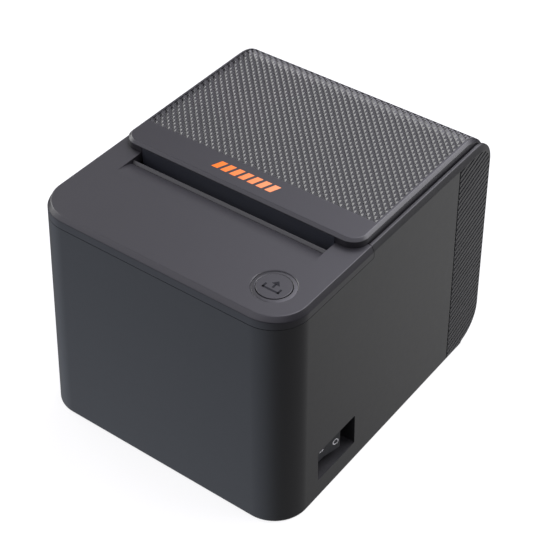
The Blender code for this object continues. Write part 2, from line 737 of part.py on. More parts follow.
def upright_plate(name, outline, y):
    """An outline of (x, z) points made solid between two values of Y."""
    flat = plate(name, [outline], "Z", (-y[1], -y[0]))
    flat.data.transform(Matrix.Rotation(math.pi / 2, 4, "X"))
    return flat


def make_print_head():
    y = back(HEAD_PIVOT_BACK)
    pivot = joint("head_axis", (0, y, HEAD_PIVOT_Z))
    block = [(back(43.9 * MM), 84.5 * MM), (back(50 * MM), 84.5 * MM), (back(50.5 * MM), 81.5 * MM)]
    block += [(back(57 * MM), 81.5 * MM), (back(57 * MM), 107.5 * MM), (back(51 * MM), 107.5 * MM)]
    block += [(back(51 * MM), 87 * MM), (back(43.9 * MM), 87 * MM)]
    bore = arc((y, HEAD_PIVOT_Z), 1.8 * MM, 0, 337.5, 15)
    dress(plate("head_heatsink", [block, bore], "X", (-40 * MM, 40 * MM)), "aluminium", pivot)
    face = box("print_head", (-41 * MM, 41 * MM), (back(57.3 * MM), back(58.2 * MM)), (90 * MM, 107.5 * MM))
    dress(face, "ceramic", pivot)
    dress(cylinder("head_pivot_pin", "X", (0, y, HEAD_PIVOT_Z), 1.5 * MM, 100 * MM), "steel")
    for side, name in ((-1, "left"), (1, "right")):
        dress(coil_spring(f"head_spring_{name}", (side * 25 * MM, back(47.4 * MM)), (72.3 * MM, 83.9 * MM)), "steel")
    ribbon = [(55.2, 81), (56.2, 70), (57.6, 55), (58.2, 42), (56.6, 28), (53.4, 18), (51, 12.6)]
    path = [Vector((back(d * MM), z * MM)) for d, z in ribbon]
    side = Vector((0.2 * MM, 0))
    outline = [tuple(p - side) for p in path] + [tuple(p + side) for p in reversed(path)]
    dress(plate("head_flex_cable", [outline], "X", (-18 * MM, 18 * MM)), "flex")


def coil_spring(name, centre, z, turns=5, radius=2.6 * MM, wire=0.4 * MM):
    """A compression spring about a vertical line."""
    steps = turns * 10
    curve = bpy.data.curves.new(name, "CURVE")
    curve.dimensions = "3D"
    curve.bevel_depth = wire
    curve.bevel_resolution = 0
    curve.use_fill_caps = True
    spline = curve.splines.new("POLY")
    spline.points.add(steps)
    low, high = z[0] + wire, z[1] - wire
    for i, point in enumerate(spline.points):
        angle = 2 * math.pi * turns * i / steps
        height = low + (high - low) * i / steps
        point.co = (centre[0] + radius * math.cos(angle), centre[1] + radius * math.sin(angle), height, 1)
    obj = bpy.data.objects.new(name, curve)
    parts.objects.link(obj)
    return obj


# ---------------------------------------------------------------- cutter


def make_cutter():
    x = CUTTER_PINION_X
    y = back(CUTTER_PINION_BACK)
    frame = box(
        "cutter_frame", (-50 * MM, 42.6 * MM), (back(20 * MM), back(50 * MM)), (109.2 * MM, 110.4 * MM)
    )
    boolean(frame, box(
        "add_cutter_flange", (-36 * MM, 42.6 * MM), (back(20 * MM), back(21.2 * MM)), (102 * MM, 110 * MM)
    ), "UNION")
    boolean(frame, cylinder("cut_shaft_hole", "Z", (x, y, 110 * MM), 1.7 * MM, 10 * MM, 12))
    dress(frame, "steel")
    dress(cylinder("cutter_motor", "Z", (x, y, 98.4 * MM), 8 * MM, 20.8 * MM, 20), "steel")

    slide = joint("cutter_slide", (0, back(50 * MM), BLADE_Z[0]))
    edge_y = back(50 * MM)
    outline = [(-42 * MM, back(22 * MM)), (42 * MM, back(22 * MM)), (42 * MM, edge_y + 2 * MM)]
    outline += [(0, edge_y), (-42 * MM, edge_y + 2 * MM)]
    dress(plate("moving_blade", [outline], "Z", BLADE_Z), "steel", slide)

    pitch = math.pi * GEAR_MODULE
    pitch_x = x + GEAR_MODULE * PINION_TEETH / 2
    tip_x = pitch_x - 0.8 * GEAR_MODULE
    root_x = pitch_x + 1.1 * GEAR_MODULE
    rack_back = root_x + 2.4 * MM
    first = y - 5 * pitch
    rack = []
    for tooth in range(8):
        middle = first + tooth * pitch
        for offset, tooth_x in ((-0.33, root_x), (-0.12, tip_x), (0.12, tip_x), (0.33, root_x)):
            rack.append((tooth_x, middle + offset * pitch))
    rack += [(rack_back, first + 8 * pitch), (rack_back, first - pitch)]
    dress(plate("blade_carrier", [rack], "Z", (112.5 * MM, 115.5 * MM)), "gear_plastic", slide)

    spin = joint("cutter_pinion_axis", (x, y, 112 * MM))
    teeth = gear_outline(PINION_TEETH, (x, y), math.pi / PINION_TEETH)
    wheel = plate("cutter_pinion", [teeth], "Z", (112.6 * MM, 115.3 * MM))
    boolean(wheel, cylinder("add_cutter_shaft", "Z", (x, y, 111.2 * MM), 1.2 * MM, 4.2 * MM, 12), "UNION")
    dress(wheel, "brass", spin)


# ---------------------------------------------------------------- paper bucket


def bucket_outline(radius, rear_z, front_z):
    centre = (back(BUCKET_BACK), BUCKET_Z)
    return [(centre[0] - radius, front_z)] + arc(centre, radius, 180, 360, 16) + [(centre[0] + radius, rear_z)]


def make_bucket():
    outer = BUCKET_HALF_WIDTH + BUCKET_SKIN
    bucket = plate(
        "paper_bucket", [bucket_outline(BUCKET_R + BUCKET_SKIN, BUCKET_REAR_Z, BUCKET_FRONT_Z)], "X",
        (-outer, outer),
    )
    hollow = bucket_outline(BUCKET_R, BUCKET_REAR_Z + 20 * MM, BUCKET_FRONT_Z + 20 * MM)
    boolean(bucket, plate("cut_bucket", [hollow], "X", (-BUCKET_HALF_WIDTH, BUCKET_HALF_WIDTH)))
    dress(bucket, "black_plastic")
    sensor = box(
        "paper_low_sensor", (-outer - 4 * MM, -outer - GAP), (back(100 * MM), back(110 * MM)), (30 * MM, 38 * MM)
    )
    dress(sensor, "black_plastic")


# ---------------------------------------------------------------- electronics


def make_rocker():
    body = box(
        "power_switch_body", (46 * MM, 60.2 * MM),
        (back(ROCKER_BACK) - ROCKER_HALF_LENGTH, back(ROCKER_BACK) + ROCKER_HALF_LENGTH),
        (ROCKER_Z[0] - 0.3 * MM, ROCKER_Z[1] + 0.3 * MM),
    )
    dress(body, "black_plastic")
    centre = Vector((ROCKER_X, back(ROCKER_BACK)))
    turn = Matrix.Rotation(-ROCKER_TILT, 2)
    reach = ROCKER_HALF_LENGTH
    face = [(0.8 * MM, -reach), (6.2 * MM, -reach), (5.2 * MM, 0), (6.2 * MM, reach), (0.8 * MM, reach)]
    outline = [tuple(centre + turn @ Vector(point)) for point in face]
    pivot = joint("rocker_axis", (centre.x, centre.y, sum(ROCKER_Z) / 2))
    dress(plate("power_rocker", [outline], "Z", ROCKER_Z), "black_plastic", pivot)


def socket(name, x, depth, height, hollow):
    """A panel socket on the board with a rectangular mouth at the rear."""
    z = (BOARD_Z[1] + GAP, BOARD_Z[1] + GAP + height)
    mouth_y = back(164.2 * MM)
    shell = box(name, x, (mouth_y - depth, mouth_y), z)
    middle_x = sum(x) / 2
    middle_z = sum(z) / 2
    boolean(shell, box(
        f"cut_{name}", (middle_x - hollow[0] / 2, middle_x + hollow[0] / 2),
        (mouth_y - hollow[2], mouth_y + 5 * MM), (middle_z - hollow[1] / 2, middle_z + hollow[1] / 2),
    ))
    return shell


SOCKETS = {
    "dc_inlet": ((-40, -27), 14, 13, (9, 9, 10), "black_plastic"),
    "usb_socket": ((-17, -5), 16, 11, (8.4, 7.6, 9), "steel"),
    "lan_socket": ((4, 20), 16, 13.5, (12, 8, 12), "steel"),
    "drawer_socket": ((27, 40), 16, 13, (9.6, 7, 12), "black_plastic"),
}


def make_electronics():
    dress(box("main_board", (-60 * MM, 60 * MM), (back(24 * MM), back(158 * MM)), BOARD_Z), "board")
    on_board = BOARD_Z[1] + GAP
    chip = box("processor_chip", (-7 * MM, 7 * MM), (back(34 * MM), back(48 * MM)), (on_board, on_board + 1.4 * MM))
    dress(chip, "black_plastic")
    capacitor = cylinder("main_capacitor", "Z", (-40 * MM, back(36 * MM), on_board + 8 * MM), 5 * MM, 16 * MM)
    dress(capacitor, "capacitor_blue")
    dress(cylinder("buzzer", "Z", (-22 * MM, back(36 * MM), on_board + 4 * MM), 6 * MM, 8 * MM), "black_plastic")
    bracket = box("rear_port_bracket", (-47 * MM, 47 * MM), [back(d) for d in PORT_BRACKET_BACK], (12.6 * MM, 34 * MM))
    for name, (x, depth, height, hollow, material_name) in SOCKETS.items():
        span = tuple(value * MM for value in x)
        shell = socket(name, span, depth * MM, height * MM, [value * MM for value in hollow])
        dress(shell, material_name)
        boolean(bracket, box(
            f"cut_bracket_{name}", (span[0] - GAP, span[1] + GAP), (back(155 * MM), back(170 * MM)),
            (5 * MM, on_board + height * MM + GAP),
        ))
    dress(bracket, "steel")


def make_materials():
    material("body_plastic", (0.075, 0.078, 0.082), 0.5)
    material("panel_plastic", (0.085, 0.084, 0.092), 0.5)
    material("bar_plastic", (0.12, 0.12, 0.125), 0.45)
    material("lid_plastic", (0.11, 0.11, 0.115), 0.5)
    material("black_plastic", (0.02, 0.02, 0.022), 0.45)
    material("gear_plastic", (0.72, 0.7, 0.64), 0.45)
    material("rubber", (0.03, 0.03, 0.03), 0.85)
    material("steel", (0.55, 0.56, 0.57), 0.35, 1.0)
    material("aluminium", (0.7, 0.71, 0.72), 0.4, 1.0)
    material("brass", (0.62, 0.48, 0.22), 0.35, 1.0)
    material("ceramic", (0.82, 0.8, 0.76), 0.3)
    material("board", (0.02, 0.16, 0.07), 0.5)
    material("flex", (0.55, 0.3, 0.1), 0.4)
    material("capacitor_blue", (0.03, 0.06, 0.2), 0.4)


def main():
    global parts, cutters
    for obj in list(bpy.data.objects):
        bpy.data.objects.remove(obj)
    parts = new_collection("receipt_printer")
    cutters = new_collection("cutters")
    make_materials()
    make_housing()
    make_base()
    make_front_panel()
    make_feed_button()
    hinge = joint("lid_axis", (0, back(HINGE_BACK), HINGE_Z))
    make_lid(hinge)
    make_platen(hinge)
    make_mechanism_frame()
    make_print_head()
    make_cutter()
    make_bucket()
    make_rocker()
    make_electronics()


main()
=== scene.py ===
"""Looks of the receipt printer: covers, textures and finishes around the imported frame.

Metres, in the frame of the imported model: +X right, -Y front, +Z up. Sizes come from the boxes of the
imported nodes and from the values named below.
"""

import json
import math

import bmesh
import bpy
from mathutils import Matrix, Vector


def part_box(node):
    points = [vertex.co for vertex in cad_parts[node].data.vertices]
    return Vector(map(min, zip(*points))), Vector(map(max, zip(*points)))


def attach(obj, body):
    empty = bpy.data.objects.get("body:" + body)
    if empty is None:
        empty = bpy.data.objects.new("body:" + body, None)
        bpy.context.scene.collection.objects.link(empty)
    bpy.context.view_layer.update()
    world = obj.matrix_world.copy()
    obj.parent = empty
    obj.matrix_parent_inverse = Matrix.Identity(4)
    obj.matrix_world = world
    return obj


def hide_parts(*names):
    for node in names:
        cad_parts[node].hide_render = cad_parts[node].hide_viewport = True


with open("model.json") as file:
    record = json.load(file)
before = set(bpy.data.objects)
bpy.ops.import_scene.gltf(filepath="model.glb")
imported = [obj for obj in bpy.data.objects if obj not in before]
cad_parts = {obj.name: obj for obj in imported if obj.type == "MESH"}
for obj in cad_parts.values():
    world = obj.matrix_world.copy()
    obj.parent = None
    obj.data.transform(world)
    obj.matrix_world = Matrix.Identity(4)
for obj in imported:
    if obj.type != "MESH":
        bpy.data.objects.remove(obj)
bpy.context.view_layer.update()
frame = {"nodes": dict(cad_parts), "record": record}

MM = 0.001
GAP = 0.3 * MM
FINE = 24  # steps of a quarter round
PAST = 5 * MM  # how far a cutter sticks out past what it cuts
WIDE = 80 * MM  # further out than either side wall

# Body
HOUSING_LOW, HOUSING_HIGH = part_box("main_housing")
PANEL_LOW, PANEL_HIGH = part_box("front_top_panel")
SIDE_FLARE = 3.2 * MM
FRONT_FLARE = 3.6 * MM
BASE_Z = HOUSING_LOW.z
TOP_Z = PANEL_HIGH.z
HALF_WIDTH = HOUSING_HIGH.x - SIDE_FLARE
FRONT_Y = HOUSING_LOW.y + FRONT_FLARE
REAR_Y = HOUSING_HIGH.y
WALL = 2.7 * MM
CHAMFER = 2.05 * MM  # 45 degrees at the front, steeper at the sides
SIDE_CHAMFER = (1.35 * MM, 2.9 * MM)  # width and height
EDGE_R = 0.35 * MM
FRONT_CORNER_R = 18 * MM
REAR_TOP_R = 14.3 * MM
REAR_BOTTOM_R = 18.7 * MM
SEAM_Z = PANEL_LOW.z - GAP
PANEL_REAR = PANEL_HIGH.y + GAP
PORT_WINDOW_X = 46 * MM
PORT_WINDOW_Z = (12.6 * MM, 34 * MM)
PORT_WINDOW_FRONT = FRONT_Y + 163.4 * MM
FLOOR_Z = 3.8 * MM
FLOOR_CUT_REAR = FRONT_Y + 146 * MM
LID_BAY_Z = 94.5 * MM
LID_BAY_LENGTH = 30 * MM
LEAST_CHAMFER = 0.4  # share of the rear's chamfer that is left at the base

# Grooves in the side walls
GROOVES_FRONT = FRONT_Y + 138 * MM
GROOVE_STRIP = 0.9 * MM
GROOVE_PITCH = 2.916 * MM
GROOVE_WIDTH = 1.35 * MM
GROOVE_DEPTH = 0.9 * MM
GROOVE_SLOPE = math.radians(20)
GROOVE_DRAFT = 0.16 * MM

# Knuckles of the hinge
EAR_SPANS = ((-67.8 * MM, -44.5 * MM), (-28 * MM, 28 * MM), (44.5 * MM, 67.8 * MM))
EAR_R = 2.4 * MM
EAR_BORE_R = 1.55 * MM
EAR_FOOT_Z = 89 * MM

# Lid
LID_LOW, LID_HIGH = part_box("lid_cover")
LID_TOP_Z = LID_HIGH.z
LID_REAR = LID_HIGH.y
LID_REAR_R = 20.2 * MM
LID_CHAMFER = 1.45 * MM
LID_CORNER_R = 8 * MM
LID_SKIN = 2.5 * MM
LID_HOLLOW_Z = 80 * MM
SKIRT_DEPTH = 5 * MM
SKIRT_BEND_Y = FRONT_Y + 146 * MM
SKIRT_FOOT_Y = FRONT_Y + 160 * MM
TEXTURE_FRONT = LID_LOW.y + 17.1 * MM
TEXTURE_LENGTH = 85.7 * MM  # along the skin
TEXTURE_HALF_WIDTH = 64.2 * MM
TEXTURE_DEPTH = 1.1 * MM
TEXTURE_COLUMNS = 34
TEXTURE_ROOT = 0.5 * MM  # how far the points reach into the shell below the field
DIAMOND_LENGTH = 4.08 * MM
ACCENT_Y = (FRONT_Y + 65.3 * MM, FRONT_Y + 70.9 * MM)
ACCENT_HALF_WIDTH = 18.6 * MM
ACCENT_LEAN = 2.2 * MM
ACCENT_BARS = 7

# Paper slot and button
FASCIA_LOW, FASCIA_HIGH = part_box("lid_front_fascia")
SLOT_HALF_WIDTH = 54.8 * MM
RAMP = (FRONT_Y + 40 * MM, FRONT_Y + 51.4 * MM)
RAMP_DROP = 2.1 * MM
RING_LOW, RING_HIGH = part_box("feed_button_ring")
BUTTON = Vector(((RING_LOW.x + RING_HIGH.x) / 2, (RING_LOW.y + RING_HIGH.y) / 2, TOP_Z))
RING_R = (RING_HIGH.x - RING_LOW.x) / 2
BUTTON_R = 8 * MM

# Switch pocket
POCKET_Y = (FRONT_Y + 24.1 * MM, FRONT_Y + 54 * MM)
POCKET_Z = (11.3 * MM, 29.4 * MM)
POCKET_FLOOR_X = 64 * MM
POCKET_SHELL_X = 71 * MM  # its shell ends within the side wall
ROCKER_LOW, ROCKER_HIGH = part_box("power_rocker")
ROCKER_PIVOT = Vector((63.2 * MM, FRONT_Y + 35.6 * MM, 0))
ROCKER_HALF_LENGTH = 10.25 * MM
ROCKER_TILT = math.radians(8)
ROCKER_BACK_X = 0.8 * MM
ROCKER_MIDDLE_X = 5.2 * MM
ROCKER_END_X = 6.2 * MM

# Camera
LENS = 97.39
SENSOR_WIDTH = 36
CAMERA_PLACE = (0.32581, -0.43867, 0.53412)
CAMERA_ANGLES = (36.2038, 40.9688, 0.2703)  # azimuth, elevation and roll


# ---------------------------------------------------------------- mesh helpers


def new_object(bm, name):
    """Turns a bmesh into an object, and frees it."""
    bmesh.ops.recalc_face_normals(bm, faces=bm.faces)
    mesh = bpy.data.meshes.new(name)
    bm.to_mesh(mesh)
    bm.free()
    obj = bpy.data.objects.new(name, mesh)
    bpy.context.scene.collection.objects.link(obj)
    return obj


def block(name, x, y, z):
    """A box between two values of each axis."""
    bm = bmesh.new()
    bmesh.ops.create_cube(bm, size=1)
    low = Vector((x[0], y[0], z[0]))
    high = Vector((x[1], y[1], z[1]))
    bmesh.ops.scale(bm, vec=high - low, verts=bm.verts)
    bmesh.ops.translate(bm, vec=(low + high) / 2, verts=bm.verts)
    return new_object(bm, name)


def arc(centre, radius, start, end, steps=FINE):
    """Points of an arc in a plane, from one angle to another, in degrees."""
    angles = [math.radians(start + (end - start) * i / steps) for i in range(steps + 1)]
    return [(centre[0] + radius * math.cos(a), centre[1] + radius * math.sin(a)) for a in angles]


def prism(name, outline, across, span):
    """An outline made solid: (y, z) points along "X" or (x, y) points along "Z"."""
    bm = bmesh.new()
    rings = []
    for t in span:
        places = [(t, u, v) if across == "X" else (u, v, t) for u, v in outline]
        rings.append([bm.verts.new(place) for place in places])
    bm.faces.new(rings[0])
    bm.faces.new(rings[1][::-1])
    for i in range(len(outline)):
        bm.faces.new((rings[0][i - 1], rings[0][i], rings[1][i], rings[1][i - 1]))
    return new_object(bm, name)


def turned(name, profile, centre, axis=(0, 0, 1), segments=96):
    """A closed profile of (radius, height) turned about an upright axis, or about another one."""
    bm = bmesh.new()
    verts = [bm.verts.new((radius, 0, height)) for radius, height in profile]
    edges = [bm.edges.new((verts[i - 1], verts[i])) for i in range(len(verts))]
    bmesh.ops.spin(
        bm, geom=verts + edges, cent=(0, 0, 0), axis=(0, 0, 1), dvec=(0, 0, 0),
        angle=2 * math.pi, steps=segments, use_merge=True,
    )
    bmesh.ops.remove_doubles(bm, verts=bm.verts, dist=0.001 * MM)
    bmesh.ops.dissolve_degenerate(bm, dist=0.001 * MM, edges=bm.edges)
    turn = Vector((0, 0, 1)).rotation_difference(Vector(axis)).to_matrix().to_4x4()
    bmesh.ops.transform(bm, matrix=Matrix.Translation(centre) @ turn, verts=bm.verts)
    return new_object(bm, name)


def apply_modifiers(obj):
    """Makes what the modifiers give the object's own mesh."""
    bpy.context.view_layer.update()
    graph = bpy.context.evaluated_depsgraph_get()
    finished = bpy.data.meshes.new_from_object(obj.evaluated_get(graph))
    obj.modifiers.clear()
    old = obj.data
    obj.data = finished
    bpy.data.meshes.remove(old)


def boolean(obj, other, operation="DIFFERENCE"):
    """Cuts, keeps or adds another shape, which is used up."""
    modifier = obj.modifiers.new("boolean", "BOOLEAN")
    modifier.operation = operation
    modifier.solver = "EXACT"
    modifier.object = other
    apply_modifiers(obj)
    bpy.data.objects.remove(other)


def bevel(obj, chosen, width, segments=1):
    """Bevels the edges for which chosen(edge) is true."""
    bm = bmesh.new()
    bm.from_mesh(obj.data)
    bm.normal_update()
    edges = [edge for edge in bm.edges if chosen(edge)]
    bmesh.ops.bevel(
        bm, geom=edges, offset=width, offset_type="OFFSET", segments=segments, profile=0.5,
        affect="EDGES", clamp_overlap=False,
    )
    bm.to_mesh(obj.data)
    bm.free()


def soften(obj, width, segments=2):
    """Rounds every edge sharper than 30 degrees."""
    modifier = obj.modifiers.new("soften", "BEVEL")
    modifier.width = width
    modifier.segments = segments
    modifier.limit_method = "ANGLE"
    modifier.angle_limit = math.radians(30)
    apply_modifiers(obj)
    return obj


def edge_at(**wanted):
    """A test for edges whose ends both have the wanted x, y or z."""

    def test(edge):
        return all(
            abs(getattr(vert.co, axis) - value) < 0.02 * MM
            for vert in edge.verts
            for axis, value in wanted.items()
        )

    return test


def between(low, high):
    """A test for edges whose faces meet at an angle between two values, in degrees."""

    def test(edge):
        if len(edge.link_faces) != 2:
            return False
        return math.radians(low) < edge.calc_face_angle() < math.radians(high)

    return test


def finish_piece(obj, body, slot, nodes=(), smooth_angle=28, finish=None):
    """Shades a piece, gives it its finish, and hangs it on its body in place of the nodes."""
    if smooth_angle:
        obj.data.shade_smooth()
        obj.data.set_sharp_from_angle(angle=math.radians(smooth_angle))
        weighted = obj.modifiers.new("even_normals", "WEIGHTED_NORMAL")
        weighted.keep_sharp = True
    obj.data.materials.clear()
    obj.data.materials.append(FINISHES[finish or slot])
    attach(obj, body)
    if nodes:
        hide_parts(*nodes)
    return obj


# ---------------------------------------------------------------- materials


def add_node(tree, kind, **inputs):
    """A node with some of its inputs set, by their names with _ for a space."""
    made = tree.nodes.new(kind)
    for name, value in inputs.items():
        made.inputs[name.replace("_", " ")].default_value = value
    return made


def noise(tree, scale, detail=3.0, stretch=(1, 1, 1)):
    """Noise in the object's own metres; scale is in features per metre."""
    place = tree.nodes.new("ShaderNodeTexCoord")
    mapping = add_node(tree, "ShaderNodeMapping", Scale=stretch)
    tree.links.new(place.outputs["Object"], mapping.inputs["Vector"])
    made = add_node(tree, "ShaderNodeTexNoise", Scale=scale, Detail=detail, Roughness=0.55)
    tree.links.new(mapping.outputs["Vector"], made.inputs["Vector"])
    return made.outputs["Fac"]


def ramp(tree, factor, low, high, span=(0.3, 0.7)):
    """Maps a factor to a colour between two."""
    made = tree.nodes.new("ShaderNodeValToRGB")
    for element, place, colour in zip(made.color_ramp.elements, span, (low, high)):
        element.position = place
        element.color = (*colour, 1)
    tree.links.new(factor, made.inputs["Fac"])
    return made.outputs["Color"]


def spread(tree, factor, low, high):
    """Maps the middle of a noise to a range."""
    made = add_node(tree, "ShaderNodeMapRange", From_Min=0.3, From_Max=0.7, To_Min=low, To_Max=high)
    tree.links.new(factor, made.inputs["Value"])
    return made.outputs["Result"]


def bump(tree, height, distance):
    """Tilts the shading by a height map that is distance deep."""
    made = add_node(tree, "ShaderNodeBump", Strength=1.0, Distance=distance)
    tree.links.new(height, made.inputs["Height"])
    return made.outputs["Normal"]


def material(name, metallic=0.0, specular=0.5):
    """A new material with its node tree and its shader."""
    made = bpy.data.materials.new(name)
    made.use_nodes = True
    tree = made.node_tree
    shader = tree.nodes["Principled BSDF"]
    shader.inputs["Metallic"].default_value = metallic
    shader.inputs["Specular IOR Level"].default_value = specular
    return made, tree, shader


def shade(colour, factor):
    """A colour made darker or lighter."""
    return tuple(channel * factor for channel in colour)


def plastic(name, colour, roughness, grain=0.012 * MM, grain_scale=2600, specular=0.5, variation=0.02):
    """Moulded plastic: spark-eroded grain, faint cloudiness and a roughness that wanders."""
    made, tree, shader = material(name, specular=specular)
    cloud = noise(tree, 45, 2)
    low = shade(colour, 1 - variation)
    high = shade(colour, 1 + variation)
    tree.links.new(ramp(tree, cloud, low, high), shader.inputs["Base Color"])
    wander = 0.012
    patches = spread(tree, noise(tree, 320, 4), roughness - wander, roughness + wander)
    tree.links.new(patches, shader.inputs["Roughness"])
    tree.links.new(bump(tree, noise(tree, grain_scale, 2), grain), shader.inputs["Normal"])
    return made


def metal(name, colour, roughness, stretch):
    """Sheet or turned metal with the fine lines of its working along one axis."""
    made, tree, shader = material(name, metallic=1.0)
    lines = noise(tree, 900, 3, stretch)
    tree.links.new(ramp(tree, lines, shade(colour, 0.86), colour), shader.inputs["Base Color"])
    tree.links.new(spread(tree, lines, roughness - 0.07, roughness + 0.08), shader.inputs["Roughness"])
    tree.links.new(bump(tree, lines, 0.004 * MM), shader.inputs["Normal"])
    return made


def circuit_board(name):
    """Green solder mask with darker runs where there is copper under it."""
    made, tree, shader = material(name)
    place = tree.nodes.new("ShaderNodeTexCoord")
    runs = add_node(
        tree, "ShaderNodeTexBrick", Color1=(0.012, 0.12, 0.05, 1), Color2=(0.018, 0.16, 0.07, 1),
        Mortar=(0.03, 0.24, 0.11, 1), Scale=120.0, Mortar_Size=0.03,
    )
    tree.links.new(place.outputs["Object"], runs.inputs["Vector"])
    tree.links.new(runs.outputs["Color"], shader.inputs["Base Color"])
    tree.links.new(spread(tree, noise(tree, 600), 0.3, 0.42), shader.inputs["Roughness"])
    tree.links.new(bump(tree, runs.outputs["Fac"], 0.03 * MM), shader.inputs["Normal"])
    return made


def accent_print_and_painted_sheen(name, left, right, reach):
    """Printed orange, with a painted sheen that pales it from the left end of the mark to the right."""
    made, tree, shader = material(name, specular=0.12)
    place = tree.nodes.new("ShaderNodeTexCoord")
    parts = tree.nodes.new("ShaderNodeSeparateXYZ")
    tree.links.new(place.outputs["Object"], parts.inputs["Vector"])
    along = add_node(tree, "ShaderNodeMapRange", From_Min=-reach, From_Max=reach)
    tree.links.new(parts.outputs["X"], along.inputs["Value"])
    # the orange is print; its paling towards the right is painted sheen
    tree.links.new(ramp(tree, along.outputs["Result"], left, right, (0, 1)), shader.inputs["Base Color"])
    tree.links.new(spread(tree, noise(tree, 900), 0.38, 0.48), shader.inputs["Roughness"])
    tree.links.new(bump(tree, noise(tree, 2600, 2), 0.006 * MM), shader.inputs["Normal"])
    return made


FINISHES = {
    "body_plastic": plastic("body_plastic_finish", (0.011, 0.011, 0.0115), 0.4),
    "panel_plastic": plastic("panel_plastic_finish", (0.012, 0.0115, 0.0135), 0.4),
    "bar_plastic": plastic("bar_plastic_finish", (0.014, 0.014, 0.0135), 0.42, grain=0.004 * MM),
    "lid_plastic": plastic("lid_plastic_finish", (0.013, 0.0125, 0.0145), 0.36, grain=0.008 * MM),
    "lid_points": plastic("lid_points_finish", (0.015, 0.015, 0.015), 0.26, grain=0.003 * MM),
    "black_plastic": plastic("black_plastic_finish", (0.012, 0.013, 0.015), 0.42, grain=0.006 * MM),
    "gear_plastic": plastic(
        "gear_plastic_finish", (0.7, 0.68, 0.61), 0.4, grain=0.004 * MM, variation=0.03
    ),
    "rubber": plastic(
        "rubber_finish", (0.022, 0.022, 0.022), 0.82, grain=0.03 * MM, grain_scale=1500, specular=0.3
    ),
    "steel": metal("steel_finish", (0.56, 0.57, 0.58), 0.34, (1, 12, 12)),
    "aluminium": metal("aluminium_finish", (0.74, 0.75, 0.76), 0.38, (0.4, 10, 10)),
    "brass": metal("brass_finish", (0.66, 0.5, 0.22), 0.32, (12, 1, 1)),
    "ceramic": plastic("ceramic_finish", (0.8, 0.78, 0.73), 0.25, grain=0.002 * MM),
    "board": circuit_board("board_finish"),
    "flex": plastic("flex_finish", (0.5, 0.24, 0.06), 0.35, grain=0.003 * MM),
    "capacitor_blue": plastic("capacitor_blue_finish", (0.02, 0.05, 0.2), 0.3, grain=0.003 * MM),
    # black plastic with painted light: lighter and bluer, for the cool light on the lid's front
    "fascia": plastic("fascia_painted_light_finish", (0.02, 0.022, 0.028), 0.5, grain=0.004 * MM),
    # printed orange accent, with painted sheen that pales its right end
    "accent": accent_print_and_painted_sheen("accent_print_and_sheen_finish", (0.6, 0.12, 0.012), (0.6, 0.21, 0.1), ACCENT_HALF_WIDTH),
    "mark_dark": plastic(
        "mark_dark_finish", (0.008, 0.008, 0.01), 0.6, grain=0.003 * MM, specular=0.12
    ),
    "mark_white": plastic("mark_white_finish", (0.6, 0.6, 0.6), 0.45, grain=0.003 * MM),
    "contact": metal("contact_finish", (0.85, 0.62, 0.25), 0.25, (1, 6, 6)),
}


# ---------------------------------------------------------------- body


def is_rim(edge):
    """True on the edges around the top, and on those between the sides and the rounded rear."""
    if len(edge.link_faces) != 2:
        return False
    one, other = (face.normal for face in edge.link_faces)
    if one.z < other.z:
        one, other = other, one
    around_top = one.z > 0.99 and abs(other.z) < 0.1
    flat, side = (one, other) if abs(one.x) < abs(other.x) else (other, one)
    around_rear = abs(side.x) > 0.9 and abs(flat.x) < 0.05 and flat.y > -0.5 and flat.z > -0.99
    return around_top or around_rear


def side_at(z):
    """How far out the side walls are at a height."""
    return HALF_WIDTH + SIDE_FLARE * (TOP_Z - z) / (TOP_Z - BASE_Z)


def flared_block(name, inset, y, z, front_r, rear_bottom_r=0, rear_top_r=0):
    """A block whose sides and front lean out towards the base, its sides set in from the body's."""
    obj = block(name, (-1, 1), y, z)
    if rear_top_r:
        bevel(obj, edge_at(y=y[1], z=z[1]), rear_top_r, FINE)
    if rear_bottom_r:
        bevel(obj, edge_at(y=y[1], z=z[0]), rear_bottom_r, FINE)
    for vert in obj.data.vertices:
        vert.co.x = math.copysign(side_at(vert.co.z) - inset, vert.co.x)
        if abs(vert.co.y - y[0]) < 0.01 * MM:
            vert.co.y -= FRONT_FLARE * (TOP_Z - vert.co.z) / (TOP_Z - BASE_Z)

    def upright_front(edge):
        tall = abs(edge.verts[0].co.z - edge.verts[1].co.z) > (z[1] - z[0]) * 0.9
        return tall and max(vert.co.y for vert in edge.verts) < y[0] + 10 * MM

    bevel(obj, upright_front, front_r, FINE)
    return obj


def across_chamfer(bm):
    """The edges across the rim's chamfer, as pairs of an inner vert and an outer one on the side wall."""
    slant = CHAMFER * math.sqrt(2)
    arc_y = REAR_Y - REAR_TOP_R
    arc_z = BASE_Z + REAR_BOTTOM_R + CHAMFER
    pairs = {}
    for face in bm.faces:
        leans = 0.3 < abs(face.normal.z) + abs(face.normal.y) < 1.4
        if len(face.verts) != 4 or not leans:
            continue
        if max(edge.calc_length() for edge in face.edges) < 2 * MM:
            continue
        for edge in face.edges:
            if abs(edge.calc_length() - slant) > 0.12 * MM:
                continue
            middle = (edge.verts[0].co + edge.verts[1].co) / 2
            behind = middle.y > arc_y + 0.1 * MM or middle.z < arc_z
            outer = max(edge.verts, key=lambda v: abs(v.co.x) if behind else -v.co.z)
            inner = edge.other_vert(outer)
            pairs[(inner.index, outer.index)] = (inner, outer)
    return pairs.values()


